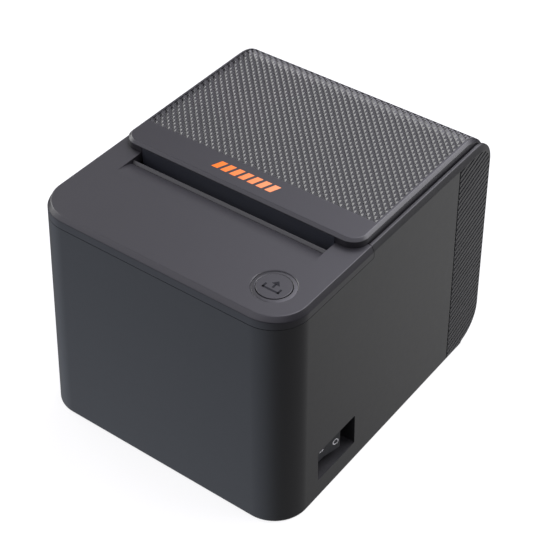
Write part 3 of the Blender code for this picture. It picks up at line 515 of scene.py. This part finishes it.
def chamfer_moves(inner, outer):
    """How far an inner and an outer vert move to make the chamfer steeper."""
    width, height = SIDE_CHAMFER
    reach = outer.co - inner.co
    if outer.co.y < FRONT_Y + FRONT_CORNER_R:
        wall = Vector((reach.x, reach.y, 0)).normalized()
    else:
        wall = Vector((math.copysign(1, outer.co.x), 0, 0))
    share = abs(wall.x) ** 2
    along = (reach - wall * reach.dot(wall)).normalized()
    corner = inner.co + wall * reach.dot(wall)
    above_base = ((inner.co + outer.co) / 2).z - BASE_Z
    keep = min(1, LEAST_CHAMFER + (1 - LEAST_CHAMFER) * above_base / REAR_BOTTOM_R)
    return (
        wall * (CHAMFER - width) * share * keep + (corner - inner.co) * (1 - keep),
        along * (height - CHAMFER) * share * keep + (corner - outer.co) * (1 - keep),
    )


def steepen_side_chamfer(obj):
    """Turns the even chamfer into a steeper one along the sides and the rear.

    The change fades out round the front corners, and the chamfer narrows down the rear to the base.
    """
    bm = bmesh.new()
    bm.from_mesh(obj.data)
    bm.normal_update()
    moves = {}
    for inner, outer in across_chamfer(bm):
        moves[inner], moves[outer] = chamfer_moves(inner, outer)
    for vert, move in moves.items():
        vert.co += move
        if abs(move.x) < abs(move.z) + abs(move.y) and abs(vert.co.y - FRONT_Y) > FRONT_CORNER_R:
            vert.co.x = math.copysign(side_at(vert.co.z), vert.co.x)
    bm.to_mesh(obj.data)
    bm.free()


def outer_form(name):
    """The whole body as one block, before it is split into housing and front panel."""
    obj = flared_block(
        name, 0, (FRONT_Y, REAR_Y), (BASE_Z, TOP_Z), FRONT_CORNER_R, REAR_BOTTOM_R, REAR_TOP_R
    )
    bevel(obj, is_rim, CHAMFER)
    steepen_side_chamfer(obj)
    bevel(obj, between(15, 80), EDGE_R, 2)
    return obj


def wall_faces(bm, facing, first_y):
    """The faces of a flat wall whose middles lie behind first_y."""
    return [
        f for f in bm.faces
        if f.normal.dot(facing) > 0.99999 and f.calc_center_median().y > first_y
    ]


def split_faces(bm, faces, point, normal):
    """Cuts faces along a plane."""
    edges = dict.fromkeys(edge for face in faces for edge in face.edges)
    verts = dict.fromkeys(vert for face in faces for vert in face.verts)
    geom = faces + list(edges) + list(verts)
    bmesh.ops.bisect_plane(bm, geom=geom, dist=0.001 * MM, plane_co=point, plane_no=normal)


def cut_grooves(obj):
    """Sinks slanted grooves into the rear of both side walls, joined by an upright one before them."""
    bm = bmesh.new()
    bm.from_mesh(obj.data)
    bm.normal_update()
    lines = Vector((0, -math.sin(GROOVE_SLOPE), math.cos(GROOVE_SLOPE)))
    first = GROOVES_FRONT + GROOVE_STRIP
    for side in (-1, 1):
        wall = max((f for f in bm.faces if f.normal.x * side > 0.9), key=lambda f: f.calc_area())
        facing = wall.normal.copy()
        split_faces(bm, wall_faces(bm, facing, FRONT_Y), (0, GROOVES_FRONT, 0), (0, 1, 0))
        split_faces(bm, wall_faces(bm, facing, GROOVES_FRONT), (0, first, 0), (0, 1, 0))
        levels = [lines.dot(v.co) for f in wall_faces(bm, facing, first) for v in f.verts]
        start = min(levels)
        count = int((max(levels) - start) / GROOVE_PITCH) + 2
        for i in range(count):
            for offset in (0, GROOVE_WIDTH):
                place = lines * (start + i * GROOVE_PITCH + offset)
                split_faces(bm, wall_faces(bm, facing, first), place, lines)
        behind = wall_faces(bm, facing, first)
        grooves = [f for f in wall_faces(bm, facing, GROOVES_FRONT) if f not in behind]
        for face in behind:
            level = (lines.dot(face.calc_center_median()) - start) % GROOVE_PITCH
            if level < GROOVE_WIDTH:
                grooves.append(face)
        bmesh.ops.inset_region(
            bm, faces=grooves, thickness=GROOVE_DRAFT, depth=-GROOVE_DEPTH, use_boundary=True,
            use_even_offset=False,
        )
    bm.to_mesh(obj.data)
    bm.free()


def panel_space(name, inset):
    """The space above and before the seam, with a small round at the seam's corner."""
    radius = 0.9 * MM
    low, rear = SEAM_Z + inset, PANEL_REAR - inset
    front, above = FRONT_Y - 2 * PAST, TOP_Z + 2 * PAST
    outline = [(front, low)] + arc((rear - radius, low + radius), radius, -90, 0, 6)
    outline += [(rear, above), (front, above)]
    return prism(name, outline, "X", (-WIDE, WIDE))


def make_housing():
    """The hollow body with its openings, grooves, hinge knuckles and rocker pocket."""
    housing = outer_form("housing")
    cut_grooves(housing)
    inner_front = FRONT_Y + WALL
    boolean(housing, flared_block(
        "cavity", WALL, (inner_front, REAR_Y - WALL), (FLOOR_Z, TOP_Z + 3 * PAST),
        FRONT_CORNER_R - WALL, REAR_BOTTOM_R - WALL,
    ))
    boolean(housing, flared_block(
        "floor", WALL, (inner_front, FLOOR_CUT_REAR), (-PAST, FLOOR_Z + 0.5 * MM), FRONT_CORNER_R - WALL
    ))
    boolean(housing, panel_space("panel_cut", 0))
    bay = HALF_WIDTH - WALL
    boolean(housing, block(
        "lid_bay", (-bay, bay), (REAR_Y - LID_BAY_LENGTH, REAR_Y + 2 * PAST),
        (LID_BAY_Z, TOP_Z + 2 * PAST),
    ))
    hinge_ears(housing)
    rocker_pocket(housing)
    window = block(
        "window", (-PORT_WINDOW_X, PORT_WINDOW_X), (PORT_WINDOW_FRONT, REAR_Y + PAST), PORT_WINDOW_Z
    )
    bevel(window, edge_at(x=PORT_WINDOW_X), 1.2 * MM, 4)
    boolean(housing, window)
    finish_piece(housing, "base", "body_plastic", ["main_housing"])


def hinge_ears(housing):
    """Knuckles of the lid's hinge on webs from the rear wall."""
    pin_low, pin_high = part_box("hinge_pin_right")
    axis = ((pin_low.y + pin_high.y) / 2, (pin_low.z + pin_high.z) / 2)
    outline = [(axis[0] - EAR_R, EAR_FOOT_Z), (axis[0] + EAR_R, EAR_FOOT_Z)]
    outline += arc(axis, EAR_R, 0, 180)
    bore = arc(axis, EAR_BORE_R, 0, 345, 23)
    for left, right in EAR_SPANS:
        ear = prism("ear", outline, "X", (left, right))
        boolean(ear, prism("bore", bore, "X", (left - MM, right + MM)))
        boolean(housing, ear, "UNION")


def lower_mouth(edge):
    """True on the edge between the pocket's lower face and the side wall."""
    return all(
        abs(vert.co.z - POCKET_Z[0]) < 0.01 * MM and vert.co.x > POCKET_SHELL_X
        for vert in edge.verts
    )


def runs_inwards(edge):
    """True on the pocket cutter's edges along x."""
    return abs(edge.verts[0].co.x - edge.verts[1].co.x) > 10 * MM


def rocker_pocket(housing):
    """Sinks a walled pocket into the right side, with a window for the rocker in the pocket's floor."""
    wall = 1.6 * MM
    lower_wall = 1 * MM
    boolean(housing, block(
        "pocket_shell", (POCKET_FLOOR_X - wall, POCKET_SHELL_X),
        (POCKET_Y[0] - wall, POCKET_Y[1] + wall), (POCKET_Z[0] - lower_wall, POCKET_Z[1] + wall),
    ), "UNION")
    pocket = block("pocket", (POCKET_FLOOR_X, WIDE), POCKET_Y, POCKET_Z)
    bevel(pocket, runs_inwards, 0.8 * MM, 4)
    boolean(housing, pocket)
    bevel(housing, lower_mouth, 0.3 * MM, 2)
    reach = ROCKER_HALF_LENGTH + 0.9 * MM
    side_gap = 0.7 * MM
    boolean(housing, block(
        "switch_window", (POCKET_FLOOR_X - PAST, POCKET_FLOOR_X + 1 * MM),
        (ROCKER_PIVOT.y - reach, ROCKER_PIVOT.y + reach),
        (ROCKER_LOW.z - side_gap, ROCKER_HIGH.z + side_gap),
    ))


# ---------------------------------------------------------------- front panel and button


def ramp_outline():
    """The dip before the slot in side view: it falls ever faster from the flat top."""
    length = RAMP[1] - RAMP[0]
    steps = 12
    fall = [
        (RAMP[0] + length * i / steps, TOP_Z - RAMP_DROP * (i / steps) ** 2)
        for i in range(steps + 1)
    ]
    rear, above = RAMP[1] + 2 * MM, TOP_Z + 3 * MM
    return fall + [(rear, fall[-1][1]), (rear, above), (RAMP[0], above)]


def make_front_panel():
    """The cap over the front, with the ramp, the paper slot and the button's hole."""
    panel = outer_form("top_panel")
    boolean(panel, panel_space("keep", GAP), "INTERSECT")
    below, behind = SEAM_Z - PAST, PANEL_REAR + PAST
    skin = 2.2 * MM
    skin_by_slot = 4.6 * MM
    boolean(panel, flared_block(
        "front_hollow", WALL, (FRONT_Y + WALL, RAMP[0]), (below, TOP_Z - skin), FRONT_CORNER_R - WALL
    ))
    inside = HALF_WIDTH - WALL
    boolean(panel, block(
        "rear_hollow", (-inside, inside), (RAMP[0] - 1 * MM, behind), (below, TOP_Z - skin_by_slot)
    ))
    slot = (-SLOT_HALF_WIDTH, SLOT_HALF_WIDTH)
    boolean(panel, block("slot", slot, (RAMP[1], behind), (below, TOP_Z + PAST)))
    boolean(panel, prism("ramp", ramp_outline(), "X", slot))
    hole_r = RING_R + 0.1 * MM
    rim = 0.35 * MM
    above, depth = 2 * MM, 8 * MM
    profile = [(0, above), (hole_r + rim + above, above), (hole_r + rim, 0), (hole_r, -rim)]
    profile += [(hole_r, -depth), (0, -depth)]
    boolean(panel, turned("button_hole", profile, BUTTON))
    finish_piece(panel, "base", "panel_plastic", ["front_top_panel"])


def make_tear_bar():
    """The bar that the paper is torn against, with a slanted front and a rounded rear edge."""
    low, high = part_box("tear_bar")
    front = low.y - 0.18 * MM
    slant = 1 * MM
    radius = 0.3 * MM
    outline = [(front, low.z), (high.y, low.z)]
    outline += arc((high.y - radius, high.z - radius), radius, 0, 90, 8)
    outline += [(front + slant, high.z), (front, high.z - slant)]
    bar = prism("tear_edge", outline, "X", (low.x, high.x))
    finish_piece(bar, "base", "bar_plastic", ["tear_bar"])


def make_ring():
    """The ring round the button, a little below the panel's top."""
    inner = BUTTON_R + 0.15 * MM
    sink = 0.28 * MM
    foot = -2.4 * MM
    profile = [(inner, -sink - 0.1 * MM), (inner + 0.25 * MM, -sink + 0.1 * MM)]
    profile += [(RING_R - 0.4 * MM, -sink), (RING_R, -sink - 0.2 * MM), (RING_R, foot), (inner, foot)]
    ring = turned("button_ring", profile, BUTTON)
    finish_piece(ring, "base", "panel_plastic", ["feed_button_ring"])


def make_button():
    """The button's cap with a rounded edge, over a flange that holds it in and a stem."""
    cap_r = BUTTON_R - 0.1 * MM
    edge = 0.3 * MM
    flange_r, flange_z = 9 * MM, (-2.7 * MM, -3.7 * MM)
    stem_r, stem_end = 2.5 * MM, -7 * MM
    profile = [(0, 0)]
    for angle in (0, 0.4, 0.8, 1.2, 1.57):
        profile.append((cap_r - edge + edge * math.sin(angle), edge * math.cos(angle) - edge))
    profile += [(cap_r, flange_z[0]), (flange_r, flange_z[0]), (flange_r, flange_z[1])]
    profile += [(stem_r, flange_z[1]), (stem_r, stem_end), (0, stem_end)]
    button = turned("button_cap", profile, BUTTON)
    finish_piece(button, "feed_button", "panel_plastic", ["feed_button"])


def thin_print(name, outlines, z, thick=0.03 * MM):
    """Flat marks of (x, y) outlines as one thin raised print."""
    bm = bmesh.new()
    for outline in outlines:
        rings = [
            [bm.verts.new((x, y, height)) for x, y in outline]
            for height in (z - thick, z + thick)
        ]
        bm.faces.new(rings[0][::-1])
        bm.faces.new(rings[1])
        for i in range(len(outline)):
            bm.faces.new((rings[0][i - 1], rings[0][i], rings[1][i], rings[1][i - 1]))
    return new_object(bm, name)


def make_feed_symbol():
    """A generic paper feed sign: a sheet with an arrow that rises out of it."""
    x, y, z = BUTTON
    stroke = 1 * MM
    half = 4.4 * MM
    foot = y - 3.2 * MM
    bars = [
        (x - half, foot, x + half, foot + stroke),
        (x - half, foot, x - half + stroke, foot + 3 * MM),
        (x + half - stroke, foot, x + half, foot + 3 * MM),
        (x - stroke / 2, y - 1.2 * MM, x + stroke / 2, y + 1.4 * MM),
    ]
    outlines = [[(x0, y0), (x1, y0), (x1, y1), (x0, y1)] for x0, y0, x1, y1 in bars]
    outlines.append([(x - 2.1 * MM, y + 1.1 * MM), (x + 2.1 * MM, y + 1.1 * MM), (x, y + 3.6 * MM)])
    symbol = thin_print("feed_symbol", outlines, z)
    finish_piece(symbol, "feed_button", "black_plastic", smooth_angle=0, finish="mark_dark")


# ---------------------------------------------------------------- lid


def lid_curve(radius):
    """The round of the lid in side view, from the rear of the flat top to the rear face."""
    return arc((LID_REAR - LID_REAR_R, LID_TOP_Z - LID_REAR_R), radius, 90, 0)


def make_lid():
    """The lid's shell, which wraps over the rear edge and is open below."""
    front = LID_LOW.y
    step = PANEL_REAR + 0.6 * MM
    skirt_z = TOP_Z - SKIRT_DEPTH
    outline = [(front, TOP_Z + GAP), (front, LID_TOP_Z)] + lid_curve(LID_REAR_R)
    outline += [(LID_REAR, LID_LOW.z), (SKIRT_FOOT_Y, LID_LOW.z)]
    outline += [(SKIRT_BEND_Y, skirt_z), (step, skirt_z), (step, TOP_Z + GAP)]
    lid = prism("lid_shell", outline, "X", (LID_LOW.x, LID_HIGH.x))
    for x in (LID_LOW.x, LID_HIGH.x):
        bevel(lid, edge_at(x=x, y=front), LID_CORNER_R, FINE)
    bevel(lid, is_rim, LID_CHAMFER)
    bevel(lid, between(20, 80), 0.22 * MM, 2)
    inside = LID_HIGH.x - LID_SKIN
    inner_front = front + LID_SKIN
    hollow = [(inner_front, LID_HOLLOW_Z), (inner_front, LID_TOP_Z - LID_SKIN)]
    hollow += lid_curve(LID_REAR_R - LID_SKIN) + [(LID_REAR - LID_SKIN, LID_HOLLOW_Z)]
    boolean(lid, prism("lid_hollow", hollow, "X", (-inside, inside)))
    boolean(lid, block(
        "fascia_cut", (FASCIA_LOW.x - GAP, FASCIA_HIGH.x + GAP), (front - PAST, inner_front + 1 * MM),
        (TOP_Z - PAST, FASCIA_HIGH.z + 0.15 * MM),
    ))
    boolean(lid, sunken_field())
    finish_piece(lid, "lid", "lid_plastic", ["lid_cover"])


def make_fascia():
    """The dark insert in the middle of the lid's front, which the paper slot ends at."""
    fascia = block(
        "slot_fascia", (FASCIA_LOW.x, FASCIA_HIGH.x), (FASCIA_LOW.y, FASCIA_HIGH.y),
        (FASCIA_LOW.z, FASCIA_HIGH.z),
    )
    soften(fascia, 0.2 * MM)
    # its finish is the black plastic with painted light, lighter and bluer
    finish_piece(fascia, "lid", "black_plastic", ["lid_front_fascia"], finish="fascia")


def lid_point(x, along, rise=0.0):
    """A point that stands off the lid's skin by rise.

    It is given by its x and by its distance rearwards along the skin from the texture's front.
    """
    centre_y, centre_z = LID_REAR - LID_REAR_R, LID_TOP_Z - LID_REAR_R
    flat = centre_y - TEXTURE_FRONT
    quarter = LID_REAR_R * math.pi / 2
    if along <= flat:
        return Vector((x, TEXTURE_FRONT + along, LID_TOP_Z + rise))
    if along <= flat + quarter:
        angle = (along - flat) / LID_REAR_R
        radius = LID_REAR_R + rise
        return Vector((x, centre_y + radius * math.sin(angle), centre_z + radius * math.cos(angle)))
    return Vector((x, LID_REAR + rise, centre_z - (along - flat - quarter)))


def sunken_field():
    """The space that the texture fills below the lid's skin, which the lid's shell is cut by."""
    steps = 64
    path = [TEXTURE_LENGTH * i / steps for i in range(steps + 1)]
    upper = [lid_point(0, along, 1 * MM) for along in path]
    lower = [lid_point(0, along, -TEXTURE_DEPTH) for along in path]
    outline = [(point.y, point.z) for point in upper + lower[::-1]]
    return prism("texture_field", outline, "X", (-TEXTURE_HALF_WIDTH, TEXTURE_HALF_WIDTH))


def make_texture():
    """Rows of four-sided points with their tips level with the skin, staggered so that their bases touch.

    The outermost points stand on the field's border, with their outer halves within the lid's shell.
    """
    half_x = TEXTURE_HALF_WIDTH / TEXTURE_COLUMNS
    half_y = DIAMOND_LENGTH / 2
    rows = round(TEXTURE_LENGTH / half_y)
    bm = bmesh.new()
    tops, feet, borders = {}, {}, {}

    def point(i, j, rise=0.0):
        return bm.verts.new(lid_point(-TEXTURE_HALF_WIDTH + i * half_x, j * half_y, rise))

    def corner(store, i, j, rise):
        if (i, j) not in store:
            store[i, j] = point(i, j, rise)
        return store[i, j]

    for j in range(rows + 1):
        for i in range(1 - j % 2, 2 * TEXTURE_COLUMNS + 1, 2):
            around = [(i - 1, j), (i, j - 1), (i + 1, j), (i, j + 1)]
            tip = point(i, j)
            top = [corner(tops, *place, -TEXTURE_DEPTH) for place in around]
            foot = [corner(feet, *place, -TEXTURE_DEPTH - TEXTURE_ROOT) for place in around]
            bm.faces.new(foot[::-1])
            for k in range(4):
                bm.faces.new((top[k - 1], top[k], tip))
                key = frozenset((around[k - 1], around[k]))
                borders[key] = None if key in borders else (top[k], top[k - 1], foot[k - 1], foot[k])
    for wall in borders.values():
        if wall:
            bm.faces.new(wall)
    texture = new_object(bm, "lid_texture")
    finish_piece(texture, "lid", "lid_plastic", smooth_angle=0, finish="lid_points")


def make_accent():
    """A generic orange accent of slanted bars on the plain strip before the texture."""
    low_y, high_y = ACCENT_Y
    lean = ACCENT_LEAN
    pitch = (2 * ACCENT_HALF_WIDTH - lean) / ACCENT_BARS
    width = pitch * 0.66
    bars = []
    for i in range(ACCENT_BARS):
        x = -ACCENT_HALF_WIDTH + i * pitch
        bars.append([(x, low_y), (x + width, low_y), (x + width + lean, high_y), (x + lean, high_y)])
    accent = thin_print("lid_accent", bars, LID_TOP_Z, 0.05 * MM)
    finish_piece(accent, "lid", "lid_plastic", smooth_angle=0, finish="accent")


# ---------------------------------------------------------------- switch


def rocker_turn():
    """Takes a point given from the rocker's pivot to its place on the tipped rocker."""
    return Matrix.Translation(ROCKER_PIVOT) @ Matrix.Rotation(-ROCKER_TILT, 4, "Z")


def make_rocker():
    """The rocker's key, with a face of two slopes that meet over the pivot."""
    reach = ROCKER_HALF_LENGTH
    face = [(ROCKER_BACK_X, -reach), (ROCKER_END_X, -reach), (ROCKER_MIDDLE_X, 0)]
    face += [(ROCKER_END_X, reach), (ROCKER_BACK_X, reach)]
    rocker = prism("rocker_key", face, "Z", (ROCKER_LOW.z, ROCKER_HIGH.z))
    rocker.data.transform(rocker_turn())
    soften(rocker, 0.35 * MM, 3)
    finish_piece(rocker, "rocker", "black_plastic", ["power_rocker"])


def lay_mark(mark, y):
    """Lays a flat mark on the rocker's sloping face, at a distance y from its pivot."""
    height = (ROCKER_LOW.z + ROCKER_HIGH.z) / 2
    slope = math.atan2(ROCKER_END_X - ROCKER_MIDDLE_X, ROCKER_HALF_LENGTH)
    turn = rocker_turn()
    spot = turn @ Vector((ROCKER_MIDDLE_X + abs(y) * math.tan(slope), y, height))
    facing = turn.to_3x3() @ Vector((math.cos(slope), -math.copysign(math.sin(slope), y), 0))
    lie = Vector((0, 0, 1)).rotation_difference(facing).to_matrix().to_4x4()
    mark.data.transform(Matrix.Translation(spot) @ lie)
    finish_piece(mark, "rocker", "black_plastic", finish="mark_white")


def make_rocker_marks():
    """A plain stroke and a plain ring."""
    thick = 0.03 * MM
    half, end_r = 1.4 * MM, 0.18 * MM
    stroke = arc((0, half), end_r, 0, 180, 8) + arc((0, -half), end_r, 180, 360, 8)
    lay_mark(prism("on_mark", stroke, "Z", (-thick, thick)), -1.7 * MM)
    inner, outer = 1.3 * MM, 1.75 * MM
    ring = [(inner, -thick), (inner, thick), (outer, thick), (outer, -thick)]
    lay_mark(turned("off_mark", ring, (0, 0, 0), segments=40), 7.3 * MM)


# ---------------------------------------------------------------- inside and below


def make_bucket():
    """The round trough that the paper roll lies in."""
    low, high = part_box("paper_bucket")
    skin = 2 * MM
    radius = (high.y - low.y) / 2
    centre = ((low.y + high.y) / 2, low.z + radius)
    front_z = 84 * MM

    def outline(r, lift):
        front = (centre[0] - r, front_z + lift)
        rear = (centre[0] + r, high.z + lift)
        return [front] + arc(centre, r, 180, 360, 2 * FINE) + [rear]

    bucket = prism("bucket_shell", outline(radius, 0), "X", (low.x, high.x))
    hollow = outline(radius - skin, 20 * MM)
    boolean(bucket, prism("bucket_hollow", hollow, "X", (low.x + skin, high.x - skin)))
    soften(bucket, 0.3 * MM)
    finish_piece(bucket, "base", "black_plastic", ["paper_bucket"])


def make_feet():
    """Rubber pads with a rounded edge and a ring groove in the sole."""
    for place in ("front_left", "front_right", "rear_left", "rear_right"):
        node = f"foot_{place}"
        low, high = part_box(node)
        centre = Vector(((low.x + high.x) / 2, (low.y + high.y) / 2, 0))
        r = (high.x - low.x) / 2
        groove = 0.3 * MM
        profile = [(0, high.z), (r, high.z), (r, 0.45 * MM), (r - 0.15 * MM, 0.15 * MM)]
        profile += [(r - 0.5 * MM, 0), (r - 1.2 * MM, 0), (r - 1.5 * MM, groove)]
        profile += [(r - 2 * MM, groove), (r - 2.3 * MM, 0), (0, 0)]
        foot = turned(f"pad_{place}", profile, centre)
        finish_piece(foot, "base", "rubber", [node])


def make_platen():
    """The roller's rubber sleeve, with chamfered ends."""
    low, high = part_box("platen_rubber")
    radius = (high.z - low.z) / 2
    half = (high.x - low.x) / 2
    bore = 2.3 * MM
    end = 0.5 * MM
    profile = [(bore, -half), (radius - end, -half), (radius, -half + end), (radius, half - end)]
    profile += [(radius - end, half), (bore, half)]
    centre = Vector(((low.x + high.x) / 2, (low.y + high.y) / 2, (low.z + high.z) / 2))
    roller = turned("roller_sleeve", profile, centre, axis=(1, 0, 0))
    finish_piece(roller, "platen", "rubber", ["platen_rubber"])


def make_jack_springs():
    """A row of slanting wires in each of the two modular jacks."""
    wire_size = Vector((0.35 * MM, 8 * MM, 0.35 * MM))
    slant = Matrix.Rotation(math.radians(14), 3, "X")
    pitch = 1.02 * MM
    for node, count in (("lan_socket", 8), ("drawer_socket", 6)):
        low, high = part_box(node)
        middle = (low.x + high.x) / 2
        bm = bmesh.new()
        for i in range(count):
            x = middle + (i - (count - 1) / 2) * pitch
            place = (x, high.y - 6 * MM, (low.z + high.z) / 2 + 1.6 * MM)
            wire = bmesh.ops.create_cube(bm, size=1)["verts"]
            bmesh.ops.scale(bm, vec=wire_size, verts=wire)
            bmesh.ops.rotate(bm, verts=wire, matrix=slant, cent=(0, 0, 0))
            bmesh.ops.translate(bm, vec=place, verts=wire)
        springs = new_object(bm, f"{node}_contacts")
        finish_piece(springs, "base", "brass", smooth_angle=0, finish="contact")


def make_tongue():
    """The tongue inside the data socket."""
    low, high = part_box("usb_socket")
    middle = Vector(((low.x + high.x) / 2, high.y - 5.2 * MM, (low.z + high.z) / 2))
    half_x, half_z = 2.6 * MM, 1.5 * MM
    tongue = block(
        "usb_tongue", (middle.x - half_x, middle.x + half_x),
        (middle.y - 4.2 * MM, middle.y + 4 * MM), (middle.z - half_z, middle.z + half_z),
    )
    finish_piece(soften(tongue, 0.3 * MM), "base", "black_plastic")


def make_inlet_pin():
    """The pin with a rounded tip inside the power inlet."""
    low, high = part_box("dc_inlet")
    centre = Vector(((low.x + high.x) / 2, high.y - 5 * MM, (low.z + high.z) / 2))
    pin_r, root = 1.05 * MM, -5.5 * MM
    profile = [(0, 4.5 * MM), (0.6 * MM, 4.3 * MM), (pin_r, 3.6 * MM), (pin_r, root), (0, root)]
    pin = turned("dc_pin", profile, centre, axis=(0, 1, 0), segments=32)
    finish_piece(pin, "base", "brass", finish="contact")


def dress_nodes():
    """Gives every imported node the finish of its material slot."""
    for part in frame["record"]["subparts"]:
        node = frame["nodes"][part["node"]]
        node.data.materials.clear()
        node.data.materials.append(FINISHES[part["material_slot"]])


# ---------------------------------------------------------------- stage, light and camera


def make_stage():
    """A pale floor that glows evenly. The light that it would throw back comes from the studio."""
    bm = bmesh.new()
    bmesh.ops.create_grid(bm, x_segments=8, y_segments=8, size=4)
    floor = new_object(bm, "floor")
    made, tree, shader = material("floor_finish", specular=0.0)
    grey = ramp(tree, noise(tree, 3), (0.17, 0.17, 0.17), (0.18, 0.18, 0.18))
    tree.links.new(grey, shader.inputs["Base Color"])
    shader.inputs["Roughness"].default_value = 1.0
    shader.inputs["Emission Color"].default_value = (1, 1, 1, 1)
    shader.inputs["Emission Strength"].default_value = 0.8
    floor.data.materials.append(made)
    floor.visible_diffuse = False
    floor.visible_glossy = False


def softbox(tree, direction, inner, outer, colour, strength):
    """Light from around one direction, full within one angle and gone at another.

    It fades out towards the horizon, and none comes from past it.
    """
    place = tree.nodes.new("ShaderNodeTexCoord")
    aim = tree.nodes.new("ShaderNodeVectorMath")
    aim.operation = "DOT_PRODUCT"
    aim.inputs[1].default_value = Vector(direction).normalized()
    tree.links.new(place.outputs["Generated"], aim.inputs[0])
    none_at, full_at = math.cos(math.radians(outer)), math.cos(math.radians(inner))
    fade = add_node(
        tree, "ShaderNodeMapRange", From_Min=none_at, From_Max=full_at, To_Max=strength
    )
    fade.interpolation_type = "SMOOTHSTEP"
    tree.links.new(aim.outputs["Value"], fade.inputs["Value"])
    parts = tree.nodes.new("ShaderNodeSeparateXYZ")
    tree.links.new(place.outputs["Generated"], parts.inputs["Vector"])
    horizon = add_node(tree, "ShaderNodeMapRange", From_Max=math.copysign(0.16, direction[2]))
    horizon.interpolation_type = "SMOOTHSTEP"
    tree.links.new(parts.outputs["Z"], horizon.inputs["Value"])
    level = tree.nodes.new("ShaderNodeMath")
    level.operation = "MULTIPLY"
    tree.links.new(fade.outputs["Result"], level.inputs[0])
    tree.links.new(horizon.outputs["Result"], level.inputs[1])
    tint = tree.nodes.new("ShaderNodeVectorMath")
    tint.operation = "SCALE"
    tint.inputs[0].default_value = colour
    tree.links.new(level.outputs["Value"], tint.inputs["Scale"])
    return tint.outputs["Vector"]


def make_lights():
    """A studio of soft boxes far away, with the pale floor's light coming from below."""
    white, cool, violet = (1, 1, 1), (0.84, 0.94, 1.14), (0.97, 0.95, 1.07)
    boxes = [
        ((0.66, 0.6, 0.46), 4, 28, white, 3.0),  # to the right and behind
        ((0.2, 0.62, 0.76), 8, 46, violet, 4.9),  # behind and above
        ((-0.5, 0.86, 0.13), 4, 22, white, 0.9),  # low behind
        ((-0.95, 0.1, 0.28), 12, 34, white, 5.4),  # to the left
        ((0.4, -0.25, 0.88), 10, 45, violet, 1.8),  # overhead
        ((-0.45, -0.65, 0.6), 15, 45, violet, 1.6),  # before and to the left
        ((-0.45, -0.65, -0.62), 20, 62, cool, 0.55),  # floor before and to the left
        ((0.45, 0.78, -0.46), 0, 24, white, 0.78),  # floor behind and to the right
        ((0, 0, -1), 30, 89, white, 0.27),  # rest of the floor
    ]
    world = bpy.data.worlds.new("studio")
    world.use_nodes = True
    tree = world.node_tree
    total = None
    for box in boxes:
        light = softbox(tree, *box)
        if total:
            both = tree.nodes.new("ShaderNodeVectorMath")
            tree.links.new(total, both.inputs[0])
            tree.links.new(light, both.inputs[1])
            light = both.outputs["Vector"]
        total = light
    tree.links.new(total, tree.nodes["Background"].inputs["Color"])
    bpy.context.scene.world = world
    bpy.context.scene.view_settings.view_transform = "Standard"


def make_camera():
    """The camera stands to the right of the front and looks down on the printer."""
    data = bpy.data.cameras.new("camera")
    data.lens = LENS
    data.sensor_width = SENSOR_WIDTH
    data.sensor_fit = "HORIZONTAL"
    camera = bpy.data.objects.new("camera", data)
    azimuth, elevation, roll = (math.radians(angle) for angle in CAMERA_ANGLES)
    back = Vector((
        math.sin(azimuth) * math.cos(elevation),
        -math.cos(azimuth) * math.cos(elevation),
        math.sin(elevation),
    ))
    right = Vector((math.cos(azimuth), math.sin(azimuth), 0))
    up = back.cross(right)
    right, up = (
        right * math.cos(roll) + up * math.sin(roll),
        up * math.cos(roll) - right * math.sin(roll),
    )
    turn = Matrix((right, up, back)).transposed().to_4x4()
    camera.matrix_world = Matrix.Translation(CAMERA_PLACE) @ turn
    bpy.context.scene.collection.objects.link(camera)
    bpy.context.scene.camera = camera


dress_nodes()
make_housing()
make_front_panel()
make_tear_bar()
make_ring()
make_button()
make_feed_symbol()
make_lid()
make_fascia()
make_texture()
make_accent()
make_rocker()
make_rocker_marks()
make_bucket()
make_feet()
make_platen()
make_jack_springs()
make_tongue()
make_inlet_pin()
make_stage()
make_lights()
make_camera()
